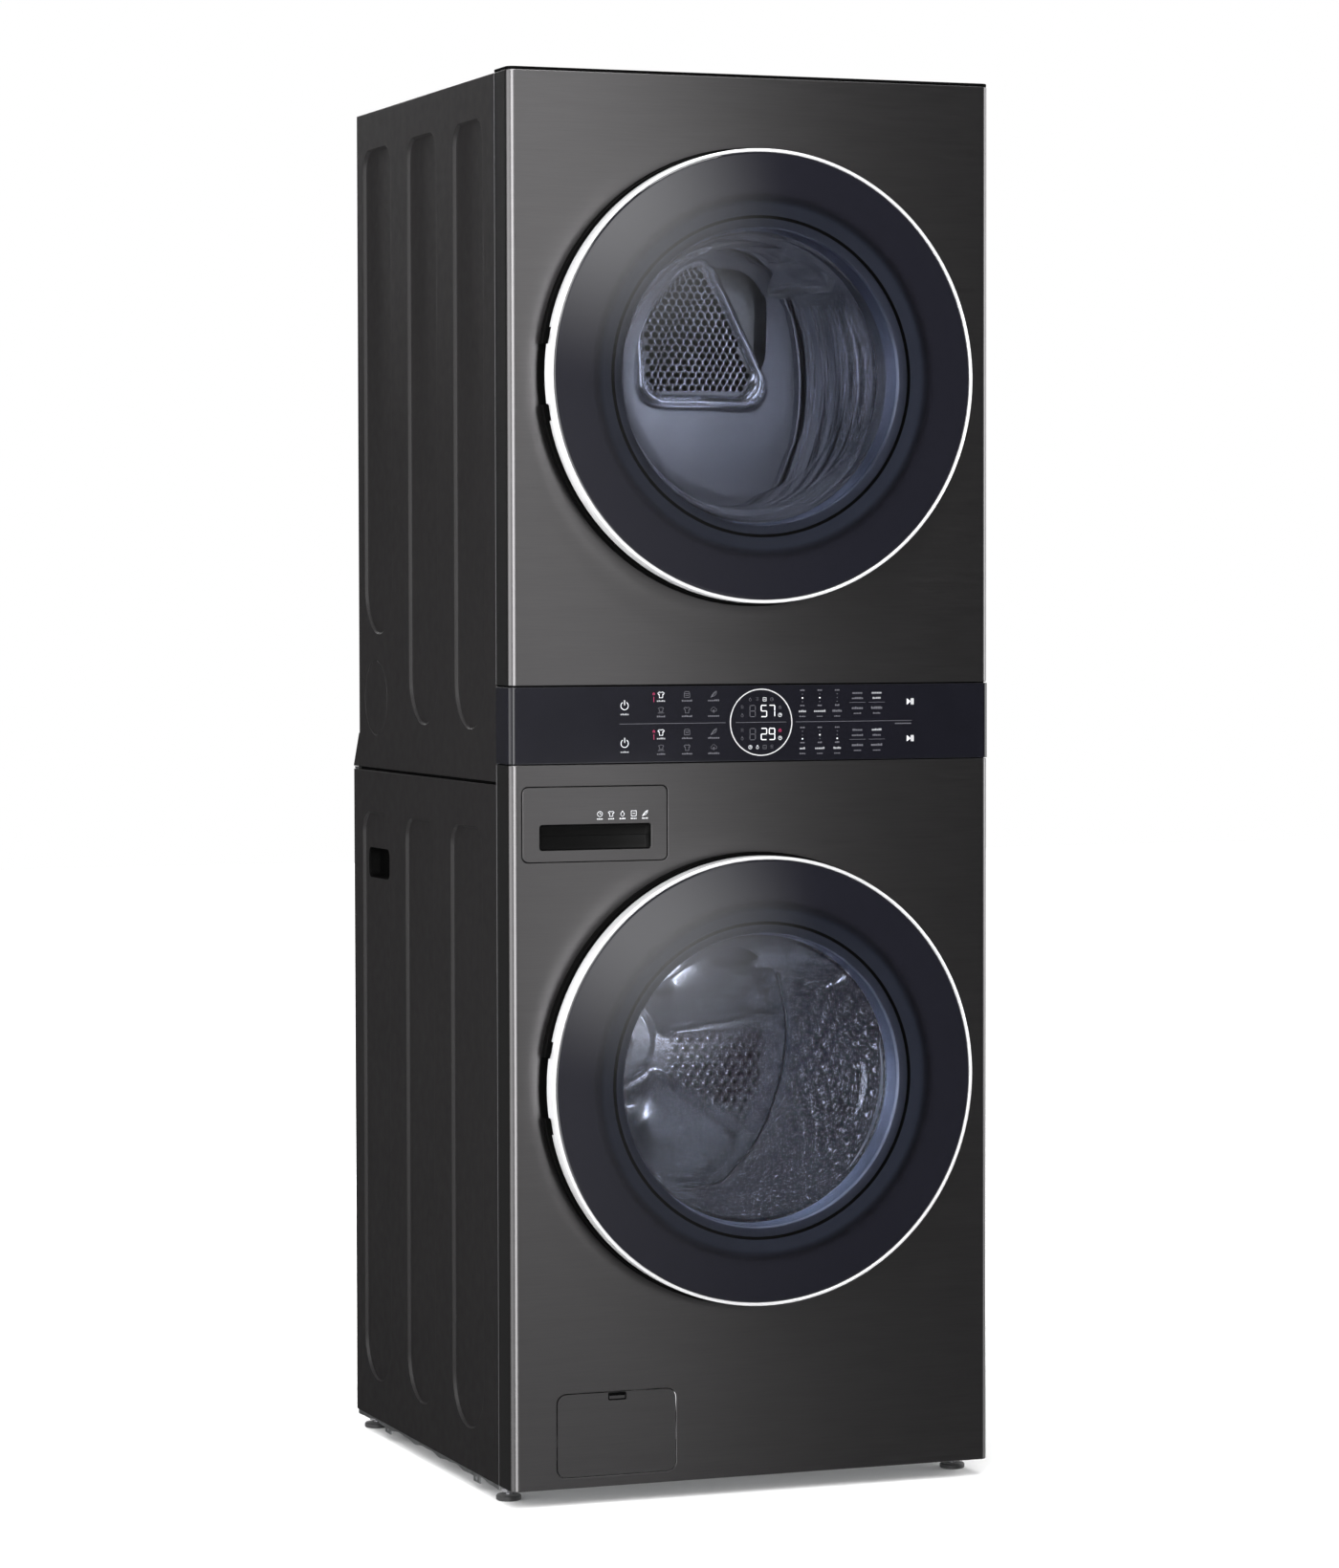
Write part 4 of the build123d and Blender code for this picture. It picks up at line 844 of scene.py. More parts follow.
def hex_dots(p, u, v, pitch, radius, soft):
    """1 inside round dots on a hexagonal grid, u and v in metres."""
    found = []
    for shift in (0.0, 0.5):
        def off(value, step):
            cell = p.sums("ADD", p.sums("DIVIDE", value, step), shift)
            return p.times(p.sums("SUBTRACT", p.sums("FRACT", cell), 0.5), step)
        far = p.away(off(u, pitch), off(v, pitch * math.sqrt(3)))
        found.append(p.span(far, radius - soft, radius + soft, 1.0, 0.0, True))
    return p.sums("MAXIMUM", *found)


def holed_steel(name, flat, pitch, hole):
    """Stainless with small punched holes, painted near-black as painted shade, on the washer drum's wall or on its
    flat rear.
    """
    colour = (0.46, 0.47, 0.49)
    p = Paint(name, colour, 0.2, 1.0)
    x, y, z = p.position()
    dz = p.sums("SUBTRACT", z, WASHER_Z)
    if flat:
        u, v = p.sums("ADD", x, 1.0), p.sums("ADD", dz, 1.0)
    else:
        u = p.sums("ADD", p.times(p.sums("ARCTAN2", dz, x), DRUM_R), 1.0)
        v = p.sums("ADD", y, 1.0)
    holes = hex_dots(p, u, v, pitch, hole, 0.0003)
    dimple = hex_dots(p, u, v, pitch, hole * 1.6, hole * 0.9)
    if flat:    # holes only between the petals, off the hub and the rim
        turn = p.sums("SUBTRACT", p.times(p.sums("ARCTAN2", dz, x), 3.0), PETAL_TURN)
        lobe = p.times(p.sums("ADD", p.sums("COSINE", turn), 1.0), 0.5)
        away = p.away(x, dz)
        zone = p.times(p.span(lobe, 0.17, 0.23, 1.0, 0.0), p.span(away, 0.088, 0.094, 0.0, 1.0))
        zone = p.times(zone, p.span(away, 0.230, 0.236, 1.0, 0.0))
        holes, dimple = p.times(holes, zone), p.times(dimple, zone)
    brush = p.noise(0.002, (0.05, 1, 1) if flat else (1, 0.03, 1), 4)
    steel = p.blend(brush, tuple(c * 0.85 for c in colour), colour)
    # The holes are painted near-black: painted shade for the dark seen through them
    p.feed(p.bsdf.inputs["Base Color"], p.blend(holes, steel, (0.01, 0.01, 0.01)))
    p.feed(p.bsdf.inputs["Roughness"], p.span(brush, 0.2, 0.8, 0.13, 0.22))
    p.bump(dimple, 0.0030 if flat else -0.0008)
    return p.mat


def pillow(r, y, a):
    """Embossed drops over the drum's wall, about 2 mm deep."""
    pitch = 0.032
    if not 0.2625 < r < 0.2640 or y < DRUM_FRONT + 0.03 or y > DRUM_BACK - 0.03:
        return r, y
    u, v = a * DRUM_R / pitch, (y - DRUM_FRONT) / (pitch * 0.87)
    row = math.floor(v)
    u += 0.5 * (row % 2)
    du, dv = (u - math.floor(u) - 0.5) * pitch, (v - row - 0.5) * pitch * 0.87
    d = math.hypot(du, dv)
    return r - 0.0050 * smoothstep(0.0145, 0.002, d), y


bm = bmesh.new()
wall_rows = [DRUM_FRONT + 0.008 + i * (DRUM_BACK - DRUM_FRONT - 0.012) / 110 for i in range(111)]
profile = [(0.232, DRUM_FRONT + 0.012), (0.234, DRUM_FRONT + 0.002), (0.240, DRUM_FRONT), (0.262, DRUM_FRONT + 0.002)]
profile += [(DRUM_R - 0.0018, y) for y in wall_rows]
profile += [(DRUM_R - 0.0002, DRUM_BACK - 0.004), (DRUM_R, DRUM_FRONT + 0.004), (0.262, DRUM_FRONT),
            (0.240, DRUM_FRONT + 0.0004)]
lathe(bm, profile, WASHER_Z, steps=420, shape=pillow)
finish(bm, "washer_drum_wall", "washer_drum", "drum_steel",
       holed_steel("washer_wall_steel", False, 0.011, 0.0017), ["washer_drum"], sharp=50)

def back_height(r, a):
    """Three broad smooth petals between three punched, sunken zones, round a low hub."""
    lobe = 0.5 + 0.5 * math.cos(3 * a - PETAL_TURN)
    petal = smoothstep(0.24, 0.40, lobe) * smoothstep(0.07, 0.09, r) * smoothstep(0.250, 0.222, r)
    crown = max(0.0, lobe - 0.4) * smoothstep(0.26, 0.15, r) * smoothstep(0.05, 0.12, r)
    rim = 1.5 * math.exp(-((lobe - 0.24) / 0.035) ** 2) * smoothstep(0.075, 0.095, r) * smoothstep(0.245, 0.225, r)
    hub = smoothstep(0.066, 0.056, r) + 0.6 * smoothstep(0.030, 0.024, r)
    return 0.012 * petal + 0.030 * crown + 0.0035 * rim + 0.006 * hub


def back_point(r, a):
    return (r * math.cos(a), DRUM_BACK - 0.0008 - back_height(r, a), WASHER_Z + r * math.sin(a))


bm = bmesh.new()
grid_r, grid_a = 84, 288
rows = [corners_of(bm, [back_point(0.263 * i / grid_r, TAU * k / grid_a) for k in range(grid_a)])
        for i in range(1, grid_r + 1)]
chain(bm, rows)
hub_vert = bm.verts.new(back_point(0, 0))
for k in range(grid_a):
    bm.faces.new((hub_vert, rows[0][k], rows[0][(k + 1) % grid_a]))
finish(bm, "washer_drum_back", "washer_drum", "drum_steel",
       holed_steel("washer_back_steel", True, 0.0150, 0.0025), sharp=60)


def vane(bm, cz, wall_r, height, half_width, y0, y1, angle, ridges=3):
    """A moulded lifting vane: a rounded ridge along the drum, sloped at both ends, with raised ribs."""
    steps, length_steps = 14, 40    # across and along
    rows = []
    for i in range(length_steps + 1):
        t = i / length_steps
        rise = height * smoothstep(0, 0.14, t) * smoothstep(1, 0.86, t)
        rise *= 0.93 + 0.07 * math.cos(2 * math.pi * ridges * 2 * t)
        row = []
        for j in range(steps + 1):
            s = -1 + 2 * j / steps
            r = wall_r - 0.0005 - rise * (0.5 + 0.5 * math.cos(math.pi * s)) ** 0.8
            a = angle + half_width * s / wall_r
            row.append((r * math.cos(a), y0 + (y1 - y0) * t, cz + r * math.sin(a)))
        rows.append(corners_of(bm, row))
    chain(bm, rows)    # each row is closed, so this also closes the vane along the wall
    cap_ends(bm, rows)


bm = bmesh.new()
for third in range(3):
    vane(bm, WASHER_Z, DRUM_R - 0.0035, 0.050, 0.040, -0.228, 0.178, math.radians(30 + 120 * third))
finish(bm, "washer_vanes", "washer_drum", "grey_plastic", MAT["drum_steel"], ["washer_lifters"], sharp=40)

# ------------------------------------------------------------------ dryer drum
DRYER_DRUM_Z = middle("dryer_drum")[2]
DRY_R, DRY_FRONT, DRY_BACK = 0.318, -0.256, 0.270


def bead(y):
    """Rolled beads round the drum."""
    return sum(0.0062 * smoothstep(0.014, 0.002, abs(y - centre)) for centre in (0.030, 0.082, 0.134, 0.186, 0.238))


bm = bmesh.new()
ys = [DRY_FRONT + 0.0015 + i * (DRY_BACK - DRY_FRONT - 0.003) / 120 for i in range(121)]
profile = [(0.2895, DRY_FRONT + 0.006), (0.2895, DRY_FRONT + 0.0005), (0.292, DRY_FRONT), (0.314, DRY_FRONT)]
profile += [(DRY_R - 0.0005, DRY_FRONT + 0.003), (DRY_R - 0.0002, DRY_BACK)]
profile += [(DRY_R - 0.0018 - bead(y), y) for y in ys[::-1]]
profile += [(0.312, DRY_FRONT + 0.002), (0.291, DRY_FRONT + 0.002), (0.2905, DRY_FRONT + 0.006)]
lathe(bm, profile, DRYER_DRUM_Z, steps=220)
finish(bm, "dryer_drum_wall", "dryer_drum", "drum_steel",
       metal("dryer_wall_steel", (0.62, 0.63, 0.67), 0.15, (0.03, 1, 0.03), 0.002, 0.1, 0.00001),
       ["dryer_drum"], sharp=40)

bm = bmesh.new()
for third in range(3):
    vane(bm, DRYER_DRUM_Z, DRY_R - 0.0050, 0.055, 0.046, -0.228, 0.243, math.radians(28 + 120 * third), ridges=0)
finish(bm, "dryer_vanes", "dryer_drum", "drum_steel", MAT["drum_steel"], ["dryer_lifters"], sharp=40)


# Air grille in the dryer's rear wall: a rounded triangle of honeycomb in a raised frame
def rounded_polygon(corners, r):
    points, steps = [], 10
    n = len(corners)
    for i in range(n):
        p, q, s = Vector(corners[i - 1]), Vector(corners[i]), Vector(corners[(i + 1) % n])
        a, b = (p - q).normalized(), (s - q).normalized()
        half = a.angle(b) / 2
        reach = r / math.tan(half)
        centre = q + (a + b).normalized() * (r / math.sin(half))
        start, end = q + a * reach - centre, q + b * reach - centre
        sweep = start.angle_signed(end)
        for k in range(steps + 1):
            t = -sweep * k / steps
            points.append((centre[0] + start[0] * math.cos(t) - start[1] * math.sin(t),
                           centre[1] + start[0] * math.sin(t) + start[1] * math.cos(t)))
    return points


def inside(points, x, z):
    hit = False
    for i in range(len(points)):
        (x1, z1), (x2, z2) = points[i - 1], points[i]
        if (z1 > z) != (z2 > z) and x < (x2 - x1) * (z - z1) / (z2 - z1) + x1:
            hit = not hit
    return hit


BULK_Y = 0.2780    # face of the rear bulkhead
grille_corners = [(0.264, 1.486), (0.132, 1.742), (0.076, 1.632), (0.080, 1.492)]
outer_line = rounded_polygon(grille_corners, 0.030)
centre_x = sum(p[0] for p in outer_line) / len(outer_line)
centre_z = sum(p[1] for p in outer_line) / len(outer_line)


def scaled(points, k):
    return [(centre_x + (x - centre_x) * k, centre_z + (z - centre_z) * k) for x, z in points]


bm = bmesh.new()
levels = [(1.22, 0.0), (1.20, 0.003), (1.16, 0.0085), (1.11, 0.0110), (1.06, 0.0105), (1.00, 0.0060), (0.965, 0.001)]
rings = [corners_of(bm, [(x, BULK_Y - up, z) for x, z in scaled(outer_line, k)]) for k, up in levels]
chain(bm, rings + rings[:1])
finish(bm, "air_grille_frame", "cabinet", "bulkhead_steel", MAT["grille_satin"], sharp=60)

bm = bmesh.new()
PITCH = 0.0107    # of the honeycomb
hexagon = [(math.cos(math.radians(30 + 60 * k)), math.sin(math.radians(30 + 60 * k))) for k in range(6)]
limit = scaled(outer_line, 0.95)
lowest, highest = min(z for _, z in limit), max(z for _, z in limit)
left, right = min(x for x, _ in limit), max(x for x, _ in limit)
row, z = 0, lowest
while z < highest:
    x = left + (PITCH / 2 if row % 2 else 0)
    while x < right:
        if inside(limit, x, z):
            rings = [corners_of(bm, [(x + size * c, BULK_Y - up, z + size * s) for c, s in hexagon])
                     for size, up in ((PITCH / math.sqrt(3), 0.0028), (PITCH * 0.51, 0.0034),
                                      (PITCH * 0.43, 0.0029), (PITCH * 0.41, 0.0004))]
            chain(bm, rings)
            # Each cell's floor is near-black: painted shade standing in for the dark seen through the honeycomb
            bm.faces.new(rings[-1]).material_index = 1
        x += PITCH
    z += PITCH * math.sqrt(3) / 2
    row += 1
finish(bm, "air_grille_mesh", "cabinet", "bulkhead_steel", [MAT["grille_satin"], MAT["bezel_black"]], sharp=40)

# ------------------------------------------------------------------ gasket
# A folded rubber ring, as a closed (radius, y) section
bm = bmesh.new()
profile = [(0.2375, -0.3365), (0.2300, -0.3370), (0.2180, -0.3350), (0.2090, -0.3300), (0.2048, -0.3235),
           (0.2060, -0.3175), (0.2120, -0.3150), (0.2200, -0.3165), (0.2230, -0.3120), (0.2180, -0.3065),
           (0.2100, -0.3050), (0.2065, -0.2990), (0.2110, -0.2930), (0.2240, -0.2900), (0.2375, -0.2865),
           (0.2378, -0.2900), (0.2300, -0.2930), (0.2200, -0.2960), (0.2150, -0.2990), (0.2220, -0.3030),
           (0.2290, -0.3090), (0.2280, -0.3190), (0.2220, -0.3215), (0.2150, -0.3210), (0.2120, -0.3245),
           (0.2160, -0.3290), (0.2240, -0.3320), (0.2378, -0.3325)]
lathe(bm, profile, WASHER_Z, steps=180)
finish(bm, "washer_gasket", "cabinet", "seal_rubber", MAT["seal_rubber"], ["door_gasket"], sharp=70)

# ------------------------------------------------------------------ control band marks
BAND_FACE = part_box("control_fascia")[0][1]
MAT["mark_dim"] = glowing_mark_paint("mark_dim", (0.13, 0.13, 0.15), 0.45)
MAT["mark_white"] = glowing_mark_paint("mark_white", (0.85, 0.87, 0.90), 0.95)
MAT["mark_red"] = glowing_mark_paint("mark_red", (0.55, 0.04, 0.14), 0.8)
MAT["mark_grey"] = glowing_mark_paint("mark_grey", (0.40, 0.41, 0.43), 0.45)
MARK_OUT, MARK_IN = 0.00012, 0.00005    # how far marks stand out of the band, and reach into it


def blot(bm, points, material, face=BAND_FACE):
    """A small filled printed shape through (x, z) points."""
    rows = [corners_of(bm, [(x, face + y, z) for x, z in points]) for y in (-MARK_OUT, MARK_IN)]
    for row in (rows[0], rows[1][::-1]):
        bm.faces.new(row).material_index = material
    join_rows(bm, *rows, material=material)


def stroke(bm, points, width, closed=False, material=0, face=BAND_FACE):
    """A thin printed line through (x, z) points, as a flat raised strip."""
    for (x1, z1), (x2, z2) in zip(points, points[1:] + points[:1] if closed else points[1:]):
        d = Vector((x2 - x1, z2 - z1))
        if d.length < 1e-7:
            continue
        d.normalize()
        s = Vector((-d[1], d[0])) * width / 2
        e = d * width * 0.45
        blot(bm, [(x1 + s[0] - e[0], z1 + s[1] - e[1]), (x1 - s[0] - e[0], z1 - s[1] - e[1]),
                  (x2 - s[0] + e[0], z2 - s[1] + e[1]), (x2 + s[0] + e[0], z2 + s[1] + e[1])], material, face)


DIM, WHITE, RED, MID = range(4)    # material places of the marks
SEGMENTS = {"2": "abged", "5": "afgcd", "7": "abc", "8": "abcdefg", "9": "abcdfg"}


def digit(bm, x, z, w, h, text, material, thickness):
    ends = {"a": ((0, h), (w, h)), "b": ((w, h), (w, h / 2)), "c": ((w, h / 2), (w, 0)), "d": ((0, 0), (w, 0)),
            "e": ((0, h / 2), (0, 0)), "f": ((0, h), (0, h / 2)), "g": ((0, h / 2), (w, h / 2))}
    for part in SEGMENTS[text]:
        (x1, z1), (x2, z2) = ends[part]
        dx, dz = (x2 - x1) * 0.12, (z2 - z1) * 0.12
        stroke(bm, [(x + x1 + dx, z + z1 + dz), (x + x2 - dx, z + z2 - dz)], h * thickness, material=material)


def arc(cx, cz, r, a0, a1, n=14):
    return [(cx + r * math.cos(math.radians(a0 + (a1 - a0) * i / n)),
             cz + r * math.sin(math.radians(a0 + (a1 - a0) * i / n))) for i in range(n + 1)]


# Generic signs, one metre across: open or closed lines, (closed, points)
SIGNS = {
    "power": [(False, arc(0, -0.05, 0.40, 125, 415, 20)), (False, [(0, 0.02), (0, 0.50)])],
    "shirt": [(True, [(-.50, .22), (-.22, .42), (-.10, .34), (.10, .34), (.22, .42), (.50, .22), (.34, .02),
                      (.26, .08), (.26, -.42), (-.26, -.42), (-.26, .08), (-.34, .02)])],
    "shirt_small": [(True, [(-.40, .30), (-.15, .42), (.15, .42), (.40, .30), (.26, .10), (.26, -.20),
                            (-.26, -.20), (-.26, .10)]), (False, [(-.45, -.38), (.45, -.38)])],
    "bedding": [(True, [(-.42, -.40), (.42, -.40), (.42, .25), (.30, .42), (-.30, .42), (-.42, .25)]),
                (False, [(-.42, .12), (.42, .12)]), (False, [(-.22, -.12), (.22, -.12)])],
    "feather": [(True, [(-.45, -.45), (-.20, -.05), (.10, .30), (.45, .45), (.38, .05), (.10, -.22),
                        (-.20, -.30)]), (False, [(-.45, -.45), (.30, .30)])],
    "cloud": [(True, arc(-.25, -.02, .20, 90, 270, 8) + [(.30, -.22)] + arc(.28, -.02, .20, -60, 110, 8)
               + arc(0, .12, .26, 20, 160, 8)), (False, [(0, -.45), (0, 0)]),
              (False, [(-.12, -.10), (0, 0), (.12, -.10)])],
    "lock": [(True, [(-.30, -.38), (.30, -.38), (.30, .08), (-.30, .08)]), (False, arc(0, .10, .20, 0, 180, 8))],
    "waves": [(False, arc(0, v - .30, .45, 50, 130, 6)) for v in (-.30, .02, .34)],
    "clock": [(False, arc(0, 0, .42, 0, 360, 16)), (False, [(0, .25), (0, 0), (.20, 0)])],
    "drop": [(True, arc(0, -.10, .30, -220, 40, 10) + [(0, .45)])],
    "square": [(True, [(-.42, -.42), (.42, -.42), (.42, .42), (-.42, .42)]), (False, [(-.18, 0), (.18, 0)])],
    "play": [(False, [(u, -0.36), (u, 0.36)]) for u in (0.17, 0.42)],
}


def glyph(bm, kind, x, z, s, material=DIM, face=BAND_FACE):
    """A small generic sign, s metres across."""
    if kind == "dot":
        blot(bm, circle(x, z, s / 2, 10), material, face)
        return
    width = max(0.00040, s * 0.055)
    if kind == "play":
        blot(bm, [(x - s * .50, z - s * .42), (x + s * .02, z), (x - s * .50, z + s * .42)], material, face)
        width = s * 0.11
    for closed, points in SIGNS[kind]:
        stroke(bm, [(x + s * u, z + s * v) for u, v in points], width, closed, material, face)


def caption(bm, x, z, width, material=DIM, height=0.0016, face=BAND_FACE):
    """A row of short blocks in place of a printed caption."""
    count = max(2, round(width / 0.0023))
    step = width / count
    for k in range(count):
        u = x - width / 2 + step * k
        rise = height * (1.35 if random.random() < 0.25 else 1.0)
        blot(bm, [(u + step * 0.12, z), (u + step * 0.80, z), (u + step * 0.80, z + rise),
                  (u + step * 0.12, z + rise)], material, face)


bm = bmesh.new()
random.seed(7)
RING_X, _, RING_Z = middle("display_ring")
UP, DOWN = 0.0246, -0.0250    # rows of the dryer and of the washer on the band
for half, z in enumerate((RING_Z + UP, RING_Z + DOWN)):
    glyph(bm, "power", -0.1828, z, 0.0130, WHITE)
    caption(bm, -0.1828, z - 0.0130, 0.0120, MID, 0.0016)
    glyph(bm, "play", 0.2265, z + 0.0010, 0.0100, WHITE)
    for column, x in enumerate((-0.1316, -0.0949, -0.0571)):
        for line, dz in enumerate((0.0133, -0.0072)):
            lit = WHITE if (column, line) == (0, 0) else DIM
            kind = (("shirt", "shirt_small"), ("bedding", "shirt"), ("feather", "cloud"))[column][line]
            glyph(bm, kind, x, z + dz, 0.0092, lit)
            caption(bm, x, z + dz - 0.0091, (0.0120, 0.0150, 0.0165)[column], MID if lit == WHITE else DIM)
    glyph(bm, "lock", -0.1417, z + 0.0150, 0.0040, RED)
    stroke(bm, [(-0.1417, z + 0.0105), (-0.1417, z + 0.0040)], 0.0005, False, RED)
    for column, x in enumerate((0.0699, 0.0949, 0.1201)):
        caption(bm, x, z + 0.0165, 0.0070)
        for k in range(3):
            lit = k == (1, 2, 1)[column] - half if half else k == 1 and column < 2
            glyph(bm, "dot", x, z + 0.0022 + 0.0050 * k, 0.0019 if lit else 0.0012, WHITE if lit else DIM)
        caption(bm, x, z - 0.0038, 0.0065)
        caption(bm, x, z - 0.0118, (0.0110, 0.0170, 0.0140)[column] - 0.003 * half,
                DIM if column == 2 and not half else MID, 0.0021)
        caption(bm, x, z - 0.0182, 0.0090, DIM, 0.0012)
    for column, x in enumerate((0.1495, 0.1775)):
        lit = MID if column else DIM
        caption(bm, x, z + 0.0120, 0.0145, lit, 0.0020)
        caption(bm, x, z + 0.0050, 0.0165 if column == 0 else 0.0120, DIM if half else lit, 0.0018)
        stroke(bm, [(x - 0.0115, z + 0.0005), (x + 0.0115, z + 0.0005)], 0.0004, False, DIM)
        caption(bm, x, z - 0.0085, 0.0165, DIM, 0.0024)
        caption(bm, x, z - 0.0150, 0.0110, DIM, 0.0014)
stroke(bm, [(-0.190, RING_Z), (-0.0404, RING_Z)], 0.0005, False, DIM)
stroke(bm, [(0.0605, RING_Z), (0.2285, RING_Z)], 0.0005, False, DIM)
caption(bm, 0.2160, RING_Z - 0.0045, 0.0240, DIM, 0.0014)
for z, text in ((RING_Z + 0.0075, "57"), (RING_Z - 0.0232, "29")):
    for dx, sign, lit, weight in ((-0.0160, "8", DIM, 0.04), (0.0002, text[0], WHITE, 0.075),
                                  (0.0117, text[1], WHITE, 0.075)):
        digit(bm, RING_X + dx, z, 0.0078, 0.0150, sign, lit, weight)
    glyph(bm, "waves", RING_X - 0.0270, z + 0.0125, 0.0052, DIM)
    glyph(bm, "drop", RING_X - 0.0270, z + 0.0020, 0.0052, DIM)
    glyph(bm, "lock", RING_X + 0.0272, z + 0.0125, 0.0052, DIM if text == "57" else RED)
    glyph(bm, "clock", RING_X + 0.0272, z + 0.0020, 0.0056, WHITE)
for k, (kind, lit) in enumerate((("drop", DIM), ("waves", DIM), ("square", WHITE), ("clock", DIM))):
    glyph(bm, kind, RING_X - 0.0155 + 0.0103 * k, RING_Z + 0.0305, 0.0052, lit)
for k, (kind, lit) in enumerate((("clock", WHITE), ("drop", WHITE), ("square", DIM), ("waves", DIM))):
    glyph(bm, kind, RING_X - 0.0155 + 0.0103 * k, RING_Z - 0.0330, 0.0056, lit)
stroke(bm, [(RING_X - 0.0360, RING_Z), (RING_X + 0.0360, RING_Z)], 0.0005, False, DIM)
finish(bm, "control_marks", "cabinet", "band_gloss",
       [MAT["mark_dim"], MAT["mark_white"], MAT["mark_red"], MAT["mark_grey"]], smooth=False)

# Small generic signs above the drawer's handle, printed, yet made with the glowing white mark paint: a painted glow
bm = bmesh.new()
for k, kind in enumerate(("clock", "shirt", "drop", "square", "feather")):
    glyph(bm, kind, -0.2175 + 0.0158 * k, 0.9140, 0.0082, DIM, FRONT)
    caption(bm, -0.2175 + 0.0158 * k, 0.9068, 0.0085, DIM, 0.0010, FRONT)
finish(bm, "drawer_marks", "detergent_drawer", "black_steel", [MAT["mark_white"]], smooth=False)

# ------------------------------------------------------------------ feet
def post(bm, x, y, profile, material, sides=28):
    """A turned (radius, z) shape about an upright axis."""
    chain(bm, [corners_of(bm, [(u, v, z) for u, v in circle(x, y, r, sides)]) for r, z in profile],
          material=material)


threads = [(0, 0.0078), (0.0048, 0.0078)]
height = 0.0085
while height < 0.049:
    threads += [(0.0048, height), (0.0042, height + 0.0006)]
    height += 0.00125
threads += [(0.0042, 0.0498), (0, 0.0498)]
bm = bmesh.new()
for x in (-0.322, 0.322):
    for y in (-0.2665, 0.3285):
        post(bm, x, y, [(0, 0), (0.0155, 0), (0.017, 0.0012), (0.017, 0.0055), (0.0155, 0.0072),
                        (0.009, 0.0078), (0, 0.0078)], 0)
        post(bm, x, y, threads, 1)
        post(bm, x, y, [(0, 0.0105), (0.0095, 0.0105), (0.0100, 0.0110), (0.0100, 0.0155), (0.0095, 0.0160),
                        (0, 0.0160)], 1, 6)
finish(bm, "feet", "cabinet", "foot_rubber", [MAT["foot_rubber"], MAT["zinc_steel"]], ["levelling_feet"], sharp=30)

# ------------------------------------------------------------------ studio
def panel_mesh(name, w, h):
    """A flat rectangle of half width w and half height h."""
    mesh = bpy.data.meshes.new(name)
    mesh.from_pydata([(-w, -h, 0), (w, -h, 0), (w, h, 0), (-w, h, 0)], [], [(0, 1, 2, 3)])
    obj = bpy.data.objects.new(name, mesh)
    scene.collection.objects.link(obj)
    return obj


def aim(obj, place, target):
    obj.location = place
    obj.rotation_euler = (Vector(target) - Vector(place)).to_track_quat("-Z", "Y").to_euler()
    obj.visible_camera = False


# White floor, which glows away from the appliance so that it melts into the white background
floor = panel_mesh("floor", 14, 14)
p = Paint("studio_floor", (0.93, 0.93, 0.93), 0.7, Specular_IOR_Level=0.05)
p.shade(p.noise(0.5), 0.01)
p.bsdf.inputs["Emission Color"].default_value = (1, 1, 1, 1)
x, y, z = p.position()
p.feed(p.bsdf.inputs["Emission Strength"], p.span(p.away(x, y), 0.55, 1.7, 0.0, 1.0, True))
floor.data.materials.append(p.mat)
floor.visible_glossy = False


def soft_panel(name, centre, size, target, strength, core=0.5, round_edge=False):
    """A soft box seen only in reflections and by the light it gives, bright in the middle."""
    w, h = size[0] / 2, size[1] / 2
    panel = panel_mesh(name, w, h)
    aim(panel, centre, target)
    mat = bpy.data.materials.new(name)
    mat.use_nodes = True
    mat.node_tree.nodes.clear()
    g = Nodes(mat.node_tree)
    u, v = (g.sums("DIVIDE", g.position()[axis], half) for axis, half in ((0, w), (1, h)))
    if round_edge:
        lit = g.span(g.away(u, v), core, 1.0, 1.0, 0.0, True)
    else:
        lit = g.times(*(g.span(g.sums("ABSOLUTE", t), core, 1.0, 1.0, 0.0, True) for t in (u, v)))
    both = g.node("ShaderNodeAddShader")
    g.feed(both.inputs[0], g.node("ShaderNodeEmission", Strength=g.times(lit, strength)).outputs[0])
    g.feed(both.inputs[1], g.node("ShaderNodeBsdfTransparent").outputs[0])
    g.node("ShaderNodeOutputMaterial", Surface=both.outputs[0])
    panel.data.materials.append(mat)
    panel.visible_shadow = False


# Round glows that the doors' glass mirrors, a dim wash for the fronts, and side boxes for the rounded edges
soft_panel("glow_upper", (0.54, -2.5, 1.91), (0.74, 0.70), (0.54, 0, 1.91), 3.8, 0.05, True)
soft_panel("glow_lower", (0.60, -2.5, 0.62), (0.74, 0.64), (0.60, 0, 0.62), 3.2, 0.05, True)
soft_panel("front_wash", (-0.10, -2.6, 1.05), (2.5, 4.6), (-0.10, 0, 1.05), 0.40, 0.3)
soft_panel("left_wall", (-3.3, -0.6, 1.4), (3.4, 3.2), (0, -0.2, 1.0), 2.6, 0.6)
soft_panel("corner_glow", (-1.25, -2.3, 1.05), (1.5, 4.4), (0, 0, 1.05), 5.0, 0.5)
soft_panel("right_wall", (3.3, -0.3, 1.4), (3.0, 3.2), (0, 0, 1.0), 3.4, 0.6)


def area(name, place, target, size, watts):
    lamp = bpy.data.lights.new(name, "AREA")
    lamp.shape = "RECTANGLE"
    lamp.size, lamp.size_y = size
    lamp.energy = watts
    obj = bpy.data.objects.new(name, lamp)
    scene.collection.objects.link(obj)
    aim(obj, place, target)


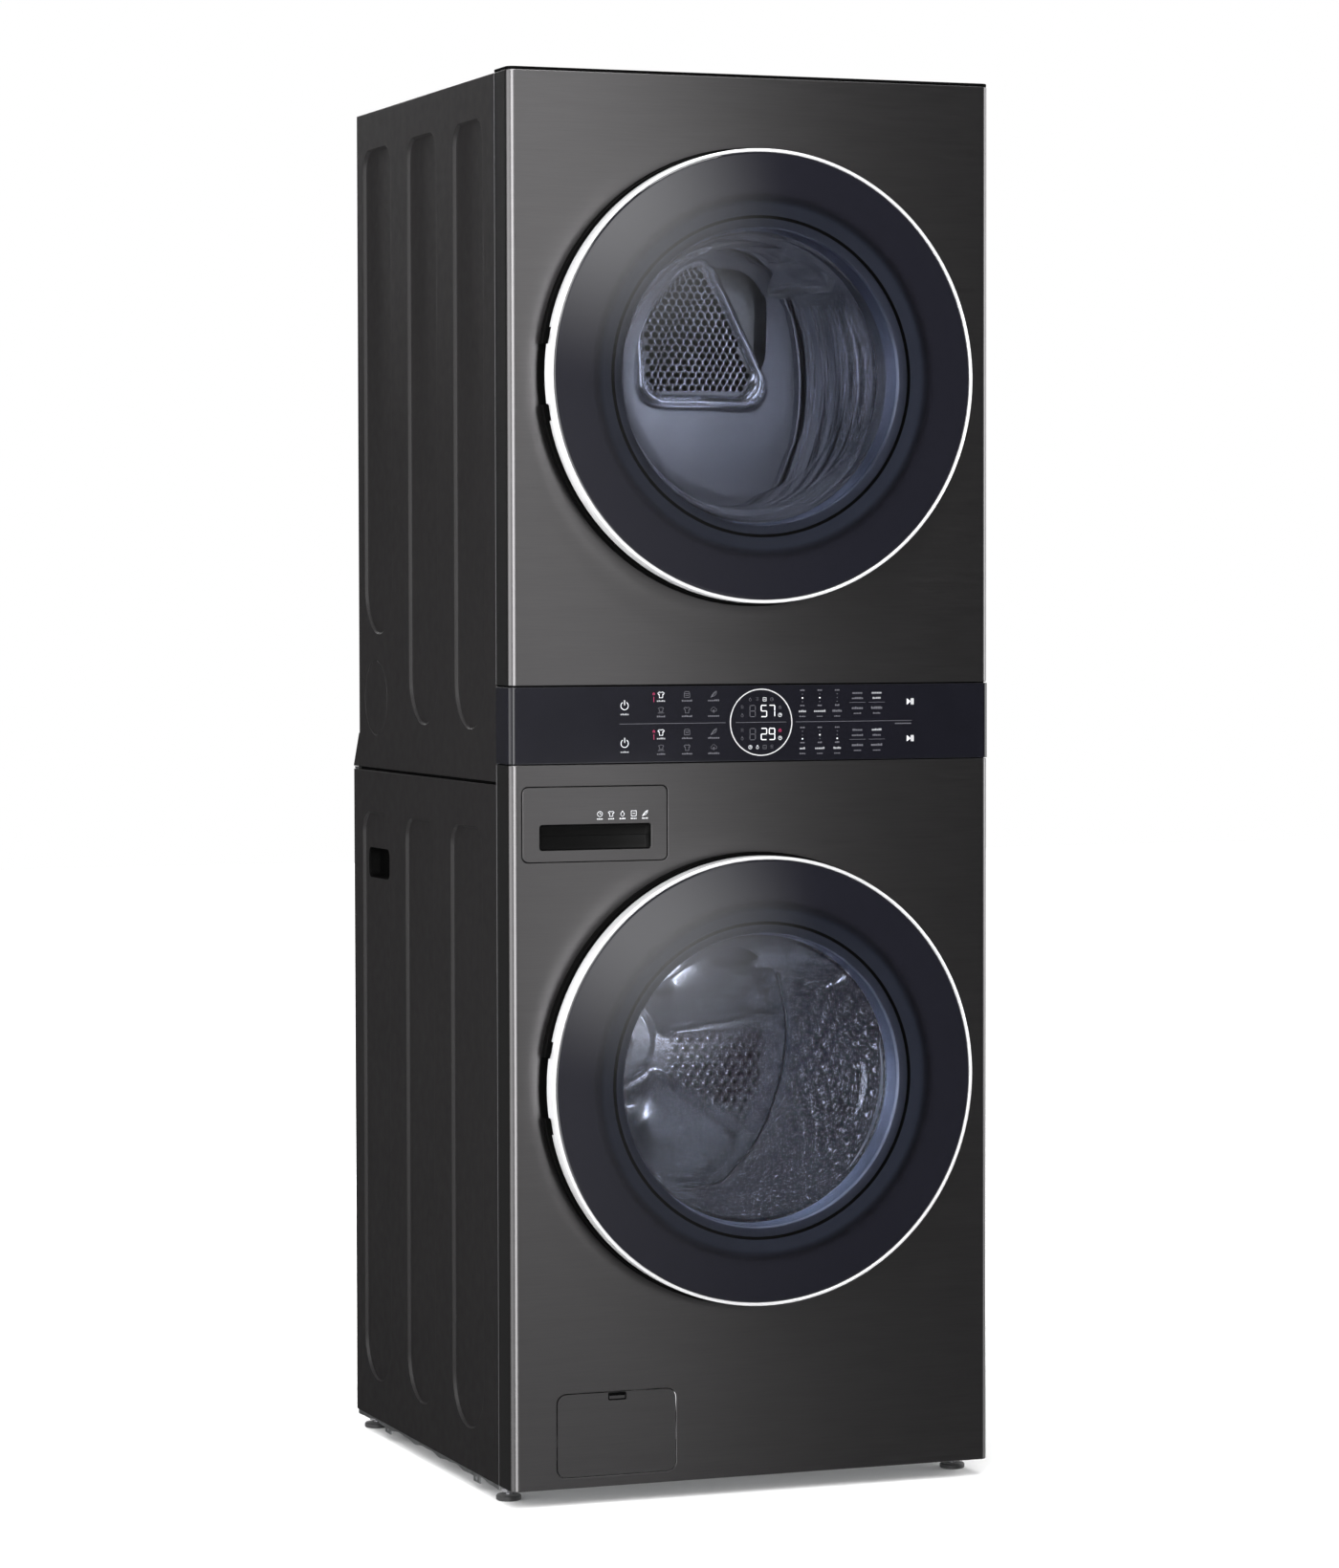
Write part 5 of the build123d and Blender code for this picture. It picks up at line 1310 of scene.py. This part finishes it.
area("ceiling", (-0.4, -0.6, 4.4), (0, 0, 0.9), (3.4, 3.4), 150)
area("rear_box", (0.6, 3.6, 2.6), (0, 0.3, 0.9), (2.6, 2.0), 70)
area("front_fill", (-2.4, -3.2, 3.2), (0, -0.3, 0.9), (2.0, 1.5), 70)
area("glint_bar", (-0.2, -2.0, 3.6), (0, -0.3, 1.0), (1.4, 0.12), 30)
for which, z, gain, inset, strip in (("dryer", DRYER_Z, 0.8, 0.0, 0.6), ("washer", WASHER_Z, 1.8, 0.045, 1.6)):
    left = -0.270 + inset
    area(which + "_drum_right", (0.286 - inset, -0.232, z + 0.06), (-0.10, 0.28, z - 0.02), (0.015, 0.20), 1.3 * gain)
    area(which + "_drum_left", (left, -0.232, z + 0.05), (0.32, 0.10, z), (0.030, 0.20), 1.1 * gain)
    area(which + "_drum_top", (0.02, -0.225, z + 0.255 - inset), (0.10, 0.20, z - 0.25), (0.16, 0.02), gain)
    area(which + "_wall_strip", (left - 0.005, 0.06, z + 0.05), (0.30, 0.06, z + 0.05), (0.03, 0.26), strip)
    area(which + "_bowl_strip", (-0.02, -0.3620, z + 0.212), (-0.02, -0.3450, z - 0.2), (0.20, 0.010), 0.35)

# World: white to the camera; as light, dim along this direction and brighter to its sides
world = bpy.data.worlds.new("studio")
scene.world = world
world.use_nodes = True
world.node_tree.nodes.clear()
g = Nodes(world.node_tree)
across = g.node("ShaderNodeVectorMath", {"operation": "DOT_PRODUCT"})
g.feed(across.inputs[0], g.node("ShaderNodeTexCoord").outputs["Generated"])
across.inputs[1].default_value = Vector((0.37, -0.93, 0.0)).normalized()
strength = g.span(g.sums("ABSOLUTE", across.outputs["Value"]), 0.55, 0.94, 0.55, 0.07, True)
light = g.node("ShaderNodeBackground", Color=(1, 1, 1, 1), Strength=strength)
white = g.node("ShaderNodeBackground", Color=(1, 1, 1, 1))
mix = g.mixed(g.node("ShaderNodeLightPath").outputs["Is Camera Ray"], light, white)
g.node("ShaderNodeOutputWorld", Surface=mix.outputs[0])
scene.view_settings.view_transform = "Standard"

# ------------------------------------------------------------------ camera
AZIMUTH, ELEVATION, ROLL = math.radians(-20.604), math.radians(2.344), math.radians(-0.124)
FOCAL_PIXELS, FRAME_PIXELS, SENSOR_MM = 5013.9, 1640, 36.0
cam = bpy.data.cameras.new("camera")
cam.sensor_width = SENSOR_MM
cam.lens = FOCAL_PIXELS * SENSOR_MM / FRAME_PIXELS
camera = bpy.data.objects.new("camera", cam)
scene.collection.objects.link(camera)
camera.location = (-2.3481, -6.2689, 1.2111)
back = Vector((math.sin(AZIMUTH) * math.cos(ELEVATION), -math.cos(AZIMUTH) * math.cos(ELEVATION),
               math.sin(ELEVATION)))
right_way = Vector((0, 0, 1)).cross(back).normalized()
up_way = back.cross(right_way)
right_rolled = right_way * math.cos(ROLL) + up_way * math.sin(ROLL)
up_rolled = up_way * math.cos(ROLL) - right_way * math.sin(ROLL)
camera.rotation_euler = Matrix((right_rolled, up_rolled, back)).transposed().to_euler()
scene.camera = camera
